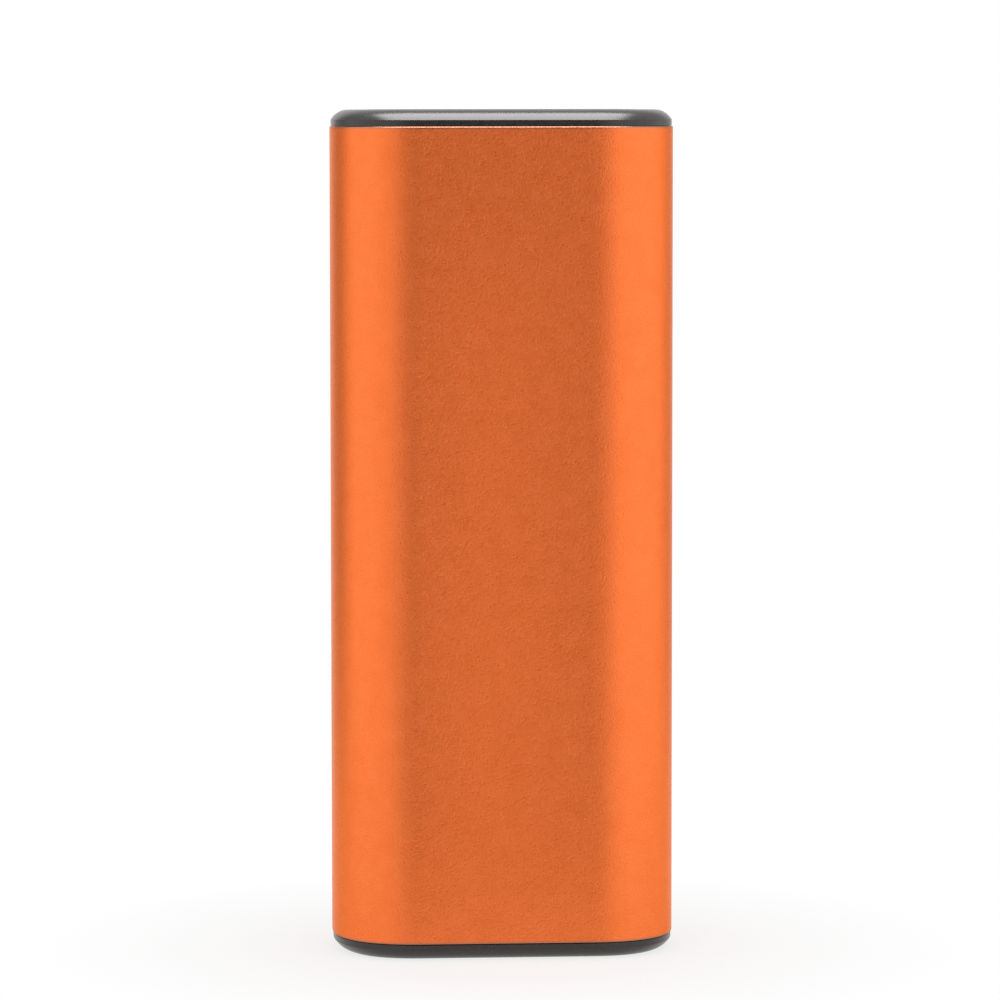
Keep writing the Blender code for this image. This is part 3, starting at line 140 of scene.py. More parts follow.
def closed(piece):
    """Leave edit mode, turn all faces outwards and shade smooth across the soft edges."""
    bpy.ops.mesh.select_mode(type="FACE")
    bpy.ops.mesh.select_all(action="SELECT")
    bpy.ops.mesh.normals_make_consistent(inside=False)
    bpy.ops.object.mode_set(mode="OBJECT")
    bpy.ops.object.transform_apply(location=True, rotation=True, scale=True)
    bpy.ops.object.shade_smooth_by_angle(angle=radians(SMOOTH_ANGLE))
    print(piece.name, len(piece.data.polygons), "faces")
    return piece


# %% Moving a face, softening an edge, cutting a hole
def sheet(name, width, depth):
    """Add a rectangle as one face and open it."""
    bpy.ops.object.select_all(action="DESELECT")
    bpy.ops.mesh.primitive_plane_add(size=1)
    piece = opened(name)
    bpy.ops.transform.resize(value=(width, depth, 1))
    return piece


def step(inwards, outwards=0.0):
    """Draw the selected face in by inwards, and move it out along its normal by outwards."""
    bpy.ops.mesh.inset(thickness=inwards, depth=outwards, use_even_offset=True)


def raised(height):
    """Extrude the selected face straight up."""
    bpy.ops.mesh.extrude_region_move(TRANSFORM_OT_translate={"value": (0, 0, height)})


def column(face, height):
    """Raise a face into a column and close it."""
    raised(height)
    return closed(face)


def arc(steps, end=pi / 2, start=0.0):
    """Return the angles at which each step of an arc begins and ends."""
    turns = [start + number / steps * (end - start) for number in range(steps + 1)]
    return list(zip(turns, turns[1:]))


def active(piece):
    """Make a piece the only selected one."""
    bpy.ops.object.select_all(action="DESELECT")
    piece.select_set(True)
    bpy.context.view_layer.objects.active = piece


def with_modifier(piece, kind, **settings):
    """Add a modifier, set it and apply it."""
    active(piece)
    bpy.ops.object.modifier_add(type=kind)
    modifier = piece.modifiers[-1]
    for key, value in settings.items():
        setattr(modifier, key, value)
    bpy.ops.object.modifier_apply(modifier=modifier.name)


def cut(piece, *tools):
    """Cut each tool out of a piece and throw the tool away."""
    for tool in tools:
        with_modifier(piece, "BOOLEAN", object=tool, operation="DIFFERENCE", solver="EXACT")
        bpy.data.objects.remove(tool, do_unlink=True)


def softened(piece, width, segments=2, smooth=SMOOTH_ANGLE):
    """Round every sharp edge of a piece by a small radius, as moulding and tumbling do."""
    with_modifier(piece, "BEVEL", width=width, segments=segments, limit_method="ANGLE",
                  angle_limit=radians(SHARP_ANGLE), miter_outer="MITER_ARC",
                  use_clamp_overlap=True)
    bpy.ops.object.shade_smooth_by_angle(angle=radians(smooth))


def fused(piece, *others):
    """Grow pieces into one by union, and throw the others away."""
    for other in others:
        with_modifier(piece, "BOOLEAN", object=other, operation="UNION", solver="EXACT")
        bpy.data.objects.remove(other, do_unlink=True)
    bpy.ops.object.shade_smooth_by_angle(angle=radians(SMOOTH_ANGLE))
    print(piece.name, len(piece.data.polygons), "faces")
    return piece


def copied(piece, name, move):
    """Copy a piece with a mesh of its own, and move the copy."""
    active(piece)
    bpy.ops.object.duplicate(linked=False)
    twin = opened(name)
    bpy.ops.transform.translate(value=move)
    return closed(twin)


def joined(name, pieces):
    """Make one object of several pieces that do not touch."""
    active(pieces[0])
    for piece in pieces:
        piece.select_set(True)
    bpy.ops.object.join()
    return closed(opened(name))


# %% [markdown]
# ## The section of the tube
# Seen from its end the tube is an oval with two flat sides. Each end of the oval is a
# superellipse, a little fuller than a half circle. A vertex bevel draws exactly that curve: its
# profile value sets the power of the superellipse. The bevel makes it as deep as it is wide, so
# the two ends are then squeezed to their real length.

# %% The oval, as one flat face
tube_low, tube_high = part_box("outer_sleeve")
HALF_WIDTH, HALF_DEPTH = tube_high.x, tube_high.y
END_LENGTH = 11.15 * MM
END_POWER = 2.4
END_STEPS = 26
FLAT_HALF_WIDTH = HALF_WIDTH - END_LENGTH
TINY = 0.001 * MM


def oval_face(name, inset, height):
    """Add the tube's section as one face at a height, drawn in by inset."""
    piece = sheet(name, 2 * (FLAT_HALF_WIDTH + HALF_DEPTH), 2 * HALF_DEPTH)
    bpy.ops.mesh.bevel(offset=HALF_DEPTH, segments=END_STEPS, affect="VERTICES",
                       profile=exp(-2 * log(2) / END_POWER), clamp_overlap=False)
    bpy.ops.mesh.select_all(action="SELECT")
    bpy.ops.mesh.remove_doubles(threshold=TINY)
    for side in (-1, 1):
        pick(piece, lambda place, _: side * place.x > FLAT_HALF_WIDTH + TINY, "VERT")
        bpy.ops.transform.resize(value=(END_LENGTH / HALF_DEPTH, 1, 1),
                                 center_override=(side * FLAT_HALF_WIDTH, 0, 0))
    pick(piece, any_face)
    bpy.ops.transform.translate(value=(0, 0, height))
    if inset:
        step(inset)
        bpy.ops.mesh.select_all(action="INVERT")
        bpy.ops.mesh.delete(type="FACE")
        pick(piece, any_face)
    return piece


# %% [markdown]
# ## The tube
# The oval is extruded to full length and its two end faces are taken away, which leaves a skin.
# Solidify gives that skin its 1.2 mm wall, inwards, so that the outside keeps its size. The saw
# leaves a sharp edge, and the bead blasting and a light chamfer break it: that is the thin
# bright line along each cap.

# %% Extrude, open and thicken the tube
TUBE_WALL = 1.2 * MM
TUBE_EDGE = 0.15 * MM

tube = oval_face("blasted_tube", 0.0, tube_low.z)
raised(tube_high.z - tube_low.z)
pick(tube, lambda place, normal: abs(normal.z) > STEEP)
bpy.ops.mesh.delete(type="ONLY_FACE")
closed(tube)
with_modifier(tube, "SOLIDIFY", thickness=TUBE_WALL, offset=-1, use_even_offset=True,
              use_quality_normals=True)
softened(tube, TUBE_EDGE, segments=3)
fitted(tube, "housing", "anodised_orange", "outer_sleeve")

# %% [markdown]
# ## The end caps
# Each cap is one moulding. From the joint with the tube it rises in a short straight band, breaks
# at a crisp line into a low crown, and rolls over to a flat rim with a pocket for a gloss plate.
# Below the band a skirt plugs into the tube. All of it follows the oval, so it is one face that
# is drawn in and lifted, again and again: that is the inset tool with a depth. The crown is part
# of an ellipse that starts some way up, and that start makes the crisp line.

# %% The profile of a cap, as steps of a face
CAP_INSET = 0.15 * MM
CAP_BAND = 0.75 * MM
CROWN_HEIGHT = 1.25 * MM
CROWN_DEPTH = 2.1 * MM
CROWN_START = radians(36)
CROWN_STEPS = 14
CROWN_REACH = CROWN_DEPTH / cos(CROWN_START)
CROWN_RISE = CROWN_HEIGHT / (1 - sin(CROWN_START))
RIM_WIDTH = 2.4 * MM
POCKET_DEPTH = 1.0 * MM
SKIRT_INSET = 1.3 * MM
SKIRT_WALL = 1.2 * MM
SKIRT_LENGTH = 5.8 * MM
CAP_FLOOR = 2.0 * MM
CAP_EDGE = 0.09 * MM
CAP_SMOOTH = 24  # degrees, less than the crisp line above the band
CAP_HEIGHT = CAP_BAND + CROWN_HEIGHT
HOLLOW_DEPTH = SKIRT_LENGTH + CAP_HEIGHT - POCKET_DEPTH - CAP_FLOOR
cap_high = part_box("top_cap")[1]


def cap_moulding(name):
    """Model a cap with its end face up, where the top cap sits."""
    joint = cap_high.z - CAP_HEIGHT
    cap = oval_face(name, CAP_INSET, joint)
    raised(CAP_BAND)
    pick(cap, looks_up)
    for before, turn in arc(CROWN_STEPS, start=CROWN_START):
        step(CROWN_REACH * (cos(before) - cos(turn)), CROWN_RISE * (sin(turn) - sin(before)))
    step(RIM_WIDTH)
    step(0.0, -POCKET_DEPTH)
    pick(cap, looks_down)
    step(SKIRT_INSET - CAP_INSET)
    step(0.0, SKIRT_LENGTH)
    step(SKIRT_WALL)
    step(0.0, -HOLLOW_DEPTH)
    return closed(cap)


# %% [markdown]
# A hole is cut by a tool with the shape of what passes through it, plus its clearance. Three
# shapes are enough: a round one, a slot with round ends, and a rectangle with small corners.
# The last two are the same: a rectangle whose corners are bevelled, all the way or a little.

# %% Tools for holes
def rounded_face(name, width, depth, corner, centre, height, segments=10):
    """Add a rectangle with round corners as one face, at a height."""
    piece = sheet(name, width, depth)
    bpy.ops.mesh.bevel(offset=corner, segments=segments, affect="VERTICES", profile=0.5,
                       clamp_overlap=False)
    bpy.ops.mesh.select_all(action="SELECT")
    bpy.ops.mesh.remove_doubles(threshold=TINY)
    bpy.ops.mesh.select_all(action="SELECT")
    bpy.ops.transform.translate(value=(centre[0], centre[1], height))
    return piece


def round_face(name, radius, centre, height, vertices=32):
    """Add a disc as one face, at a height."""
    bpy.ops.object.select_all(action="DESELECT")
    bpy.ops.mesh.primitive_circle_add(radius=radius, vertices=vertices, fill_type="NGON")
    piece = opened(name)
    bpy.ops.transform.translate(value=(centre[0], centre[1], height))
    return piece


# %% [markdown]
# The top cap is cut for the button and for four small lights, and counterbored for the two
# screws that hold it, which the plate hides. The places come from the frame: the middle of the
# button's box, and the middle of each light's box.

# %% What passes through the top
SCREW_HEAD_ROOM = 1.65 * MM
SCREW_SHANK_ROOM = 1.05 * MM
SCREW_SEAT = 1.05 * MM
BUTTON_WIDTH, BUTTON_DEPTH = 9.0 * MM, 5.5 * MM
BUTTON_GAP = 0.15 * MM
BUTTON_SEGMENTS = 20
WINDOW_RADIUS = 0.85 * MM
THROUGH = 12 * MM


def middle(name):
    """Return the middle of a node's box."""
    low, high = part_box(name)
    return (low + high) / 2


button_place = middle("power_button")
light_places = [middle(f"status_led_{number}") for number in range(1, 5)]
print("lights, mm:", [round(place.x / MM, 2) for place in light_places])


def top_openings():
    """Return the tools for the button and the lights, from under the floor to above the cap."""
    low = cap_high.z - THROUGH / 2
    slot = rounded_face("tool_button", BUTTON_WIDTH + 2 * BUTTON_GAP,
                        BUTTON_DEPTH + 2 * BUTTON_GAP, BUTTON_DEPTH / 2 + BUTTON_GAP,
                        button_place, low, segments=BUTTON_SEGMENTS)
    tools = [column(slot, THROUGH)]
    for number, place in enumerate(light_places, start=1):
        window = round_face(f"tool_light_{number}", WINDOW_RADIUS, place, low)
        tools.append(column(window, THROUGH))
    return tools


def screw_tools(names, seat, outwards):
    """Return a counterbore from the seat outwards and a clearance hole, for each screw."""
    tools = []
    for name in names:
        place = middle(name)
        head_low = seat if outwards > 0 else seat - THROUGH
        head = round_face(f"tool_head_{name}", SCREW_HEAD_ROOM, place, head_low)
        tools.append(column(head, THROUGH))
        shank = round_face(f"tool_shank_{name}", SCREW_SHANK_ROOM, place, seat - THROUGH / 2)
        tools.append(column(shank, THROUGH))
    return tools


# %% The top cap
top_cap = cap_moulding("top_moulding")
cut(top_cap, *top_openings(), *screw_tools(["top_cap_screw_1", "top_cap_screw_2"],
                                           cap_high.z - POCKET_DEPTH - SCREW_SEAT, 1))
softened(top_cap, CAP_EDGE, segments=3, smooth=CAP_SMOOTH)
fitted(top_cap, "housing", "black_plastic", "top_cap")

# %% [markdown]
# The bottom cap is the same moulding turned over, with openings for two ports. It is modelled
# at the top, where all steps are the same, and turned about the middle of the warmer.

# %% The bottom cap
MIDDLE_Z = (frame_low.z + frame_high.z) / 2
PORT_GAP = 0.2 * MM
USB_WIDTH, USB_DEPTH, USB_CORNER = 13.1 * MM, 5.7 * MM, 0.7 * MM
MICRO_WIDTH, MICRO_DEPTH, MICRO_CUT, MICRO_CORNER = 7.5 * MM, 2.6 * MM, 0.8 * MM, 0.25 * MM
usb_place = middle("usb_a_shell")
micro_place = middle("micro_usb_shell")


def turned_over(piece):
    """Turn a piece end over end about the middle of the warmer."""
    active(piece)
    bpy.ops.object.mode_set(mode="EDIT")
    bpy.ops.mesh.select_all(action="SELECT")
    bpy.ops.transform.rotate(value=pi, orient_axis="X", center_override=(0, 0, MIDDLE_Z))
    return closed(piece)


def micro_face(name, growth, height):
    """Add the input port's outline: a rectangle with two corners cut off, all slightly round."""
    piece = sheet(name, MICRO_WIDTH + 2 * growth, MICRO_DEPTH + 2 * growth)
    pick(piece, lambda place, _: place.y > 0, "VERT")
    bpy.ops.mesh.bevel(offset=MICRO_CUT, segments=1, affect="VERTICES")
    bpy.ops.mesh.select_all(action="SELECT")
    bpy.ops.mesh.bevel(offset=MICRO_CORNER, segments=3, affect="VERTICES", profile=0.5)
    bpy.ops.mesh.select_all(action="SELECT")
    bpy.ops.transform.translate(value=(micro_place.x, micro_place.y, height))
    return piece


def port_openings(low):
    """Return the tools for both ports, from a height up."""
    usb = rounded_face("tool_usb", USB_WIDTH + 2 * PORT_GAP, USB_DEPTH + 2 * PORT_GAP, USB_CORNER,
                       usb_place, low)
    usb = column(usb, THROUGH)
    return [usb, column(micro_face("tool_micro", PORT_GAP, low), THROUGH)]


bottom_cap = turned_over(cap_moulding("bottom_moulding"))
cut(bottom_cap, *port_openings(-THROUGH / 2),
    *screw_tools(["bottom_cap_screw_1", "bottom_cap_screw_2"], POCKET_DEPTH + SCREW_SEAT, -1))
softened(bottom_cap, CAP_EDGE, segments=3, smooth=CAP_SMOOTH)
fitted(bottom_cap, "housing", "black_plastic", "bottom_cap")

# %% [markdown]
# ## The gloss plates
# A polished plate lies in each cap and hides its screws. Its outer edge is rounded enough to
# catch a line of light.

# %% Both plates
PLATE_INSET = 4.75 * MM
PLATE_EDGE = 0.16 * MM


def plate(title, name, tools):
    """Model a plate in a node's place, cut for what passes through it."""
    low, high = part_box(name)
    piece = oval_face(title, PLATE_INSET, low.z)
    raised(high.z - low.z)
    closed(piece)
    cut(piece, *tools)
    softened(piece, PLATE_EDGE, segments=3)
    fitted(piece, "housing", "gloss_black", name)


plate("top_fascia", "top_plate", top_openings())
plate("bottom_fascia", "bottom_plate", port_openings(-THROUGH / 2))

# %% [markdown]
# ## The power button
# One press turns the heat on. A flange under the cap keeps the button in, and its head fills the
# slot with a soft edge and a shallow dish that the thumb finds without looking.

# %% The button, from its flange to its dish
BUTTON_FLANGE = 1.0 * MM
BUTTON_FLANGE_THICKNESS = 0.9 * MM
BUTTON_EDGE = 0.35 * MM
DISH_MARGIN = 0.5 * MM
DISH_WIDTH = 0.9 * MM
DISH_DEPTH = 0.25 * MM
ROUND_STEPS = 6

button_low, button_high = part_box("power_button")
button = rounded_face("power_key", BUTTON_WIDTH + 2 * BUTTON_FLANGE,
                      BUTTON_DEPTH + 2 * BUTTON_FLANGE, BUTTON_DEPTH / 2 + BUTTON_FLANGE,
                      button_place, button_low.z, segments=BUTTON_SEGMENTS)
raised(BUTTON_FLANGE_THICKNESS)
pick(button, looks_up)
step(BUTTON_FLANGE)
step(0.0, button_high.z - button_low.z - BUTTON_FLANGE_THICKNESS - BUTTON_EDGE)
for before, turn in arc(ROUND_STEPS):
    step(BUTTON_EDGE * (cos(before) - cos(turn)), BUTTON_EDGE * (sin(turn) - sin(before)))
step(DISH_MARGIN)
for before, turn in arc(ROUND_STEPS, pi):
    step(DISH_WIDTH / ROUND_STEPS, DISH_DEPTH / 2 * (cos(turn) - cos(before)))
closed(button)
fitted(button, "button", "button_grey", "power_button")

# %% [markdown]
# The only mark on the warmer is the plain sign for power that every kind of device has: a ring
# with a gap, and a bar in the gap. It is printed on, so it is a very thin piece of its own.

# %% The sign for power
SIGN_RADIUS = 0.72 * MM
SIGN_LINE = 0.17 * MM
SIGN_THICKNESS = 0.06 * MM
SIGN_GAP = 0.75 * MM
SIGN_BAR = 0.8 * MM
SIGN_SEGMENTS = 48
sign_low = button_high.z - DISH_DEPTH - SIGN_THICKNESS / 2
tool_low, tool_height = sign_low - SIGN_THICKNESS, 3 * SIGN_THICKNESS
disc = round_face("power_sign", SIGN_RADIUS + SIGN_LINE / 2, button_place, sign_low,
                  SIGN_SEGMENTS)
sign = column(disc, SIGN_THICKNESS)
inside = round_face("tool_inside", SIGN_RADIUS - SIGN_LINE / 2, button_place, tool_low,
                    SIGN_SEGMENTS)
inside = column(inside, tool_height)
top_place = (button_place.x, button_place.y + SIGN_RADIUS)
gap = column(rounded_face("tool_gap", SIGN_GAP, SIGN_RADIUS, SIGN_LINE / 4, top_place, tool_low,
                          segments=3), tool_height)
cut(sign, inside, gap)
bar = rounded_face("bar", SIGN_LINE, SIGN_BAR, SIGN_LINE / 3,
                   (top_place[0], top_place[1] - SIGN_LINE), sign_low, segments=3)
bar = column(bar, SIGN_THICKNESS)
sign = joined("power_sign", [sign, bar])
fitted(sign, "button", "socket_white")

# %% [markdown]
# ## The light pipe
# Four clear pillars on one bar carry the light of the four small lamps on the board up to the
# plate. One pillar is modelled and copied three times, and all are fused to their bar.

# %% The bar and its pillars
PILLAR_RADIUS = 0.75 * MM
DOME_REACH, DOME_RISE, DOME_STEPS = 0.45 * MM, 0.12 * MM, 3
guide_low, guide_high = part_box("light_guide")
guide_middle = middle("light_guide")
BAR_WIDTH, BAR_THICKNESS = 2.6 * MM, 0.8 * MM
bar_low = button_low.z + BUTTON_FLANGE_THICKNESS - BAR_THICKNESS
light_pipe = rounded_face("light_pipe", guide_high.x - guide_low.x, BAR_WIDTH, BAR_WIDTH / 4,
                          guide_middle, bar_low)
light_pipe = column(light_pipe, BAR_THICKNESS)
pillar = round_face("pillar_1", PILLAR_RADIUS, light_places[0], guide_low.z)
raised(guide_high.z - guide_low.z - DOME_RISE)
pick(pillar, looks_up)
for before, turn in arc(DOME_STEPS):
    step(DOME_REACH * (cos(before) - cos(turn)), DOME_RISE * (sin(turn) - sin(before)))
closed(pillar)
pillars = [pillar] + [copied(pillar, f"pillar_{number}", place - light_places[0])
                      for number, place in enumerate(light_places[1:], start=2)]
fused(light_pipe, *pillars)
fitted(light_pipe, "housing", "clear_guide", "light_guide")

# %% [markdown]
# ## The ports
# The output is a full-size socket and the input a small one. Each has a folded steel shell, open
# at the plate, and a moulded tongue inside that carries the contacts. In the wide sides of the
# large shell four leaf springs stand in windows and grip the plug. A spring and a contact are the
# same thing to model: a thin leaf that runs straight from its root and then bulges to one side.

# %% A leaf that bulges
LEAF_STEPS = 12


def leaf(name, size, place, top, length, straight, bulge):
    """Model a leaf that hangs from its top and bulges along y below its straight part."""
    piece = sheet(name, size[0], size[1])
    bpy.ops.transform.translate(value=(place[0], place[1], top))
    bpy.ops.mesh.extrude_region_move(TRANSFORM_OT_translate={"value": (0, 0, -straight)})
    fall = (length - straight) / LEAF_STEPS
    for before, turn in arc(LEAF_STEPS, pi):
        out = bulge * (sin(turn) ** 2 - sin(before) ** 2)
        bpy.ops.mesh.extrude_region_move(TRANSFORM_OT_translate={"value": (0, out, -fall)})
    return closed(piece)


# %% The output port's shell, its windows and springs
USB_WALL, USB_EDGE = 0.3 * MM, 0.07 * MM
SPRING_WIDTH, SPRING_THICKNESS = 2.2 * MM, 0.22 * MM
SPRING_SPREAD = 3.3 * MM
SPRING_BULGES = ((1, -0.55 * MM), (-1, 0.35 * MM))
SPRING_TOP, SPRING_LENGTH, SPRING_STRAIGHT = 10.6 * MM, 7.0 * MM, 0.9 * MM
WINDOW_WIDTH, WINDOW_LOW, WINDOW_HIGH = 2.9 * MM, 3.1 * MM, 9.9 * MM
usb_low, usb_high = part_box("usb_a_shell")
usb_shell = rounded_face("output_shell", USB_WIDTH, USB_DEPTH, USB_CORNER, usb_place, usb_low.z,
                         segments=6)
raised(usb_high.z - usb_low.z)
pick(usb_shell, looks_down)
step(USB_WALL)
step(0.0, -(usb_high.z - usb_low.z - USB_WALL))
closed(usb_shell)
softened(usb_shell, USB_EDGE)
wall_middle = USB_DEPTH / 2 - USB_WALL / 2
windows, springs = [], []
for side, bulge in SPRING_BULGES:
    for shift in (-SPRING_SPREAD, SPRING_SPREAD):
        label = f"{len(springs) + 1}"
        place = (usb_place.x + shift, side * wall_middle)
        window = rounded_face(f"tool_window_{label}", WINDOW_WIDTH, 3 * USB_WALL, USB_WALL / 2,
                              place, WINDOW_LOW, segments=2)
        windows.append(column(window, WINDOW_HIGH - WINDOW_LOW))
        springs.append(leaf(f"spring_{label}", (SPRING_WIDTH, SPRING_THICKNESS), place, SPRING_TOP,
                            SPRING_LENGTH, SPRING_STRAIGHT, bulge))
cut(usb_shell, *windows)
fused(usb_shell, *springs)
fitted(usb_shell, "housing", "nickel", "usb_a_shell")

# %% The output port's tongue
TONGUE_BASE, TONGUE_CORNER = 3.5 * MM, 0.3 * MM
BLADE_WIDTH, BLADE_THICKNESS, BLADE_Y = 11.1 * MM, 1.84 * MM, -0.93 * MM
BLADE_CORNER, BLADE_TIP, BLADE_TIP_RISE = 0.25 * MM, 0.4 * MM, 0.25 * MM
GROOVE_WIDTH, GROOVE_DEPTH, GROOVE_CORNER = 1.25 * MM, 0.3 * MM, 0.1 * MM
tongue_low, tongue_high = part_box("usb_a_tongue")
tongue_size = tongue_high - tongue_low
base_low = tongue_high.z - TONGUE_BASE
usb_tongue = rounded_face("output_tongue", tongue_size.x, tongue_size.y, TONGUE_CORNER,
                          usb_place, base_low, segments=4)
usb_tongue = column(usb_tongue, TONGUE_BASE)
blade = rounded_face("blade", BLADE_WIDTH, BLADE_THICKNESS, BLADE_CORNER, (usb_place.x, BLADE_Y),
                     tongue_low.z + BLADE_TIP_RISE, segments=4)
raised(base_low - tongue_low.z)
pick(blade, looks_down)
step(BLADE_TIP, BLADE_TIP_RISE)
closed(blade)
fused(usb_tongue, blade)
contact_places = [middle(f"usb_a_contact_{number}") for number in range(1, 5)]
contact_low, contact_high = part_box("usb_a_contact_1")
grooves = []
for number, place in enumerate(contact_places, start=1):
    groove = rounded_face(f"tool_groove_{number}", GROOVE_WIDTH, 2 * GROOVE_DEPTH,
                          GROOVE_CORNER, (place.x, BLADE_Y + BLADE_THICKNESS / 2),
                          contact_low.z - GROOVE_DEPTH, segments=2)
    grooves.append(column(groove, contact_high.z - contact_low.z + 2 * GROOVE_DEPTH))
cut(usb_tongue, *grooves)
fitted(usb_tongue, "housing", "socket_white", "usb_a_tongue")

# %% The output port's contacts
CONTACT_BULGE, CONTACT_STRAIGHT, CONTACT_EDGE = 0.4 * MM, 3.6 * MM, 0.04 * MM
contact_size = contact_high - contact_low
first = leaf("output_contact_1", (contact_size.x, contact_size.y), contact_places[0],
             contact_high.z, contact_size.z, CONTACT_STRAIGHT, CONTACT_BULGE)
softened(first, CONTACT_EDGE)
contacts = [first] + [copied(first, f"output_contact_{number}", place - contact_places[0])
                      for number, place in enumerate(contact_places[1:], start=2)]
for number, contact in enumerate(contacts, start=1):
    fitted(contact, "housing", "contact_gold", f"usb_a_contact_{number}")

# %% The input port
MICRO_WALL, MICRO_EDGE = 0.3 * MM, 0.05 * MM
MICRO_BASE, MICRO_BASE_INSET = 1.2 * MM, 0.4 * MM
MICRO_BLADE_WIDTH, MICRO_BLADE_THICKNESS, MICRO_BLADE_Y = 4.1 * MM, 0.6 * MM, -1.35 * MM
MICRO_BLADE_CORNER, MICRO_TIP, MICRO_TIP_RISE = 0.12 * MM, 0.12 * MM, 0.1 * MM
MICRO_CONTACTS, MICRO_PITCH = 5, 0.65 * MM
STRIP_SIZE, STRIP_GAP = (0.32 * MM, 0.1 * MM), 0.03 * MM
STRIP_LENGTH, STRIP_STRAIGHT, STRIP_BULGE = 2.3 * MM, 0.6 * MM, -0.12 * MM
micro_low, micro_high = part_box("micro_usb_shell")
micro_shell = micro_face("input_shell", 0.0, micro_low.z)
raised(micro_high.z - micro_low.z)
pick(micro_shell, looks_down)
step(MICRO_WALL)
step(0.0, -(micro_high.z - micro_low.z - MICRO_WALL))
closed(micro_shell)
softened(micro_shell, MICRO_EDGE)
fitted(micro_shell, "housing", "nickel", "micro_usb_shell")

inner_low, inner_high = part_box("micro_usb_tongue")
micro_tongue = column(micro_face("input_tongue", -MICRO_BASE_INSET, inner_high.z - MICRO_BASE),
                      MICRO_BASE)
blade = rounded_face("small_blade", MICRO_BLADE_WIDTH, MICRO_BLADE_THICKNESS,
                     MICRO_BLADE_CORNER, (micro_place.x, MICRO_BLADE_Y),
                     inner_low.z + MICRO_TIP_RISE, segments=3)
raised(inner_high.z - inner_low.z - MICRO_BASE / 2)
pick(blade, looks_down)
step(MICRO_TIP, MICRO_TIP_RISE)
closed(blade)
fused(micro_tongue, blade)
fitted(micro_tongue, "housing", "chip_black", "micro_usb_tongue")
strips = []
strip_y = MICRO_BLADE_Y - MICRO_BLADE_THICKNESS / 2 - STRIP_GAP
for number in range(MICRO_CONTACTS):
    across = micro_place.x + (number - (MICRO_CONTACTS - 1) / 2) * MICRO_PITCH
    strips.append(leaf(f"strip_{number}", STRIP_SIZE, (across, strip_y),
                       inner_high.z - MICRO_BASE, STRIP_LENGTH, STRIP_STRAIGHT, STRIP_BULGE))
micro_contacts = joined("input_contacts", strips)
fitted(micro_contacts, "housing", "contact_gold")

# %% [markdown]
# ## Materials
# A material is a small network of nodes. One helper adds a node, sets its sockets and links
# them. Colours are written as sRGB hex values, as a picker shows them, and one function turns
# them into the linear values that the renderer works in.

# %% Colour and node helpers
def linear(colour):
    """Turn an sRGB hex value into linear colour."""
    parts = [int(colour[place:place + 2], 16) / 255 for place in (1, 3, 5)]
    return (*[part / 12.92 if part <= 0.04045 else ((part + 0.055) / 1.055) ** 2.4
              for part in parts], 1.0)


def node(tree, kind, values=None, links=None, stops=(), **properties):
    """Add a node, set its properties, sockets and the stops of its ramp, and link its inputs."""
    added = tree.nodes.new(kind)
    for key, value in properties.items():
        setattr(added, key, value)
    for key, value in (values or {}).items():
        added.inputs[key].default_value = value
    for key, source in (links or {}).items():
        tree.links.new(source, added.inputs[key])
    for number, (position, colour) in enumerate(stops):
        elements = added.color_ramp.elements
        stop = elements[number] if number < len(elements) else elements.new(position)
        stop.position, stop.color = position, colour
    return added


def new_material(name, **values):
    """Start a material and return it with its tree, its shader and its object coordinates."""
    material = bpy.data.materials.new(name)
    material.use_nodes = True
    tree = material.node_tree
    shader = tree.nodes["Principled BSDF"]
    for key, value in values.items():
        shader.inputs[key.replace("_", " ")].default_value = value
    place = node(tree, "ShaderNodeTexCoord").outputs["Object"]
    return material, tree, shader, place


def surfaced(shader, colour, shine, relief):
    """Link a colour, a roughness and a height to a shader."""
    links = shader.id_data.links
    links.new(colour, shader.inputs["Base Color"])
    links.new(shine.outputs["Result"], shader.inputs["Roughness"])
    links.new(relief.outputs["Normal"], shader.inputs["Normal"])


def give(slot, material):
    """Make a material the only one of every piece that takes its finish from a slot."""
    for piece in finishes[slot]:
        if len(piece.material_slots):
            for held in piece.material_slots:
                held.material = material
        else:
            piece.data.materials.append(material)
    print(material.name, "on", len(finishes[slot]), "pieces")


# %% [markdown]
# Most finishes share one idea: a grain of a real size that varies the colour, the shine and the
# height together. So that network is one function, and each finish says how large its grain is,
# how it is drawn out along an axis, and how deep. The real grain of moulded, plated and pressed
# surfaces is a few hundredths of a millimetre. A pixel covers 0.13 mm here, so that grain is
# coarsened to the few tenths of a millimetre that can be seen.


# %% A surface with one grain
def grained(name, dark, light, grain, rough, depth, stretch=(1, 1, 1), detail=2.0, **values):
    """Make a surface whose colour, roughness and height vary with one grain of a real size."""
    material, tree, shader, place = new_material(name, **values)
    drawn = node(tree, "ShaderNodeMapping", {"Scale": stretch}, {"Vector": place})
    noise = node(tree, "ShaderNodeTexNoise", {"Scale": 1 / grain, "Detail": detail},
                 {"Vector": drawn.outputs["Vector"]}).outputs["Fac"]
    tint = node(tree, "ShaderNodeValToRGB", links={"Fac": noise},
                stops=[(0.3, linear(dark)), (0.7, linear(light))])
    shine = node(tree, "ShaderNodeMapRange",
                 {"From Min": 0.3, "From Max": 0.7, "To Min": rough[0], "To Max": rough[1]},
                 {"Value": noise})
    relief = node(tree, "ShaderNodeBump", {"Distance": depth}, {"Height": noise})
    surfaced(shader, tint.outputs["Color"], shine, relief)
    return material
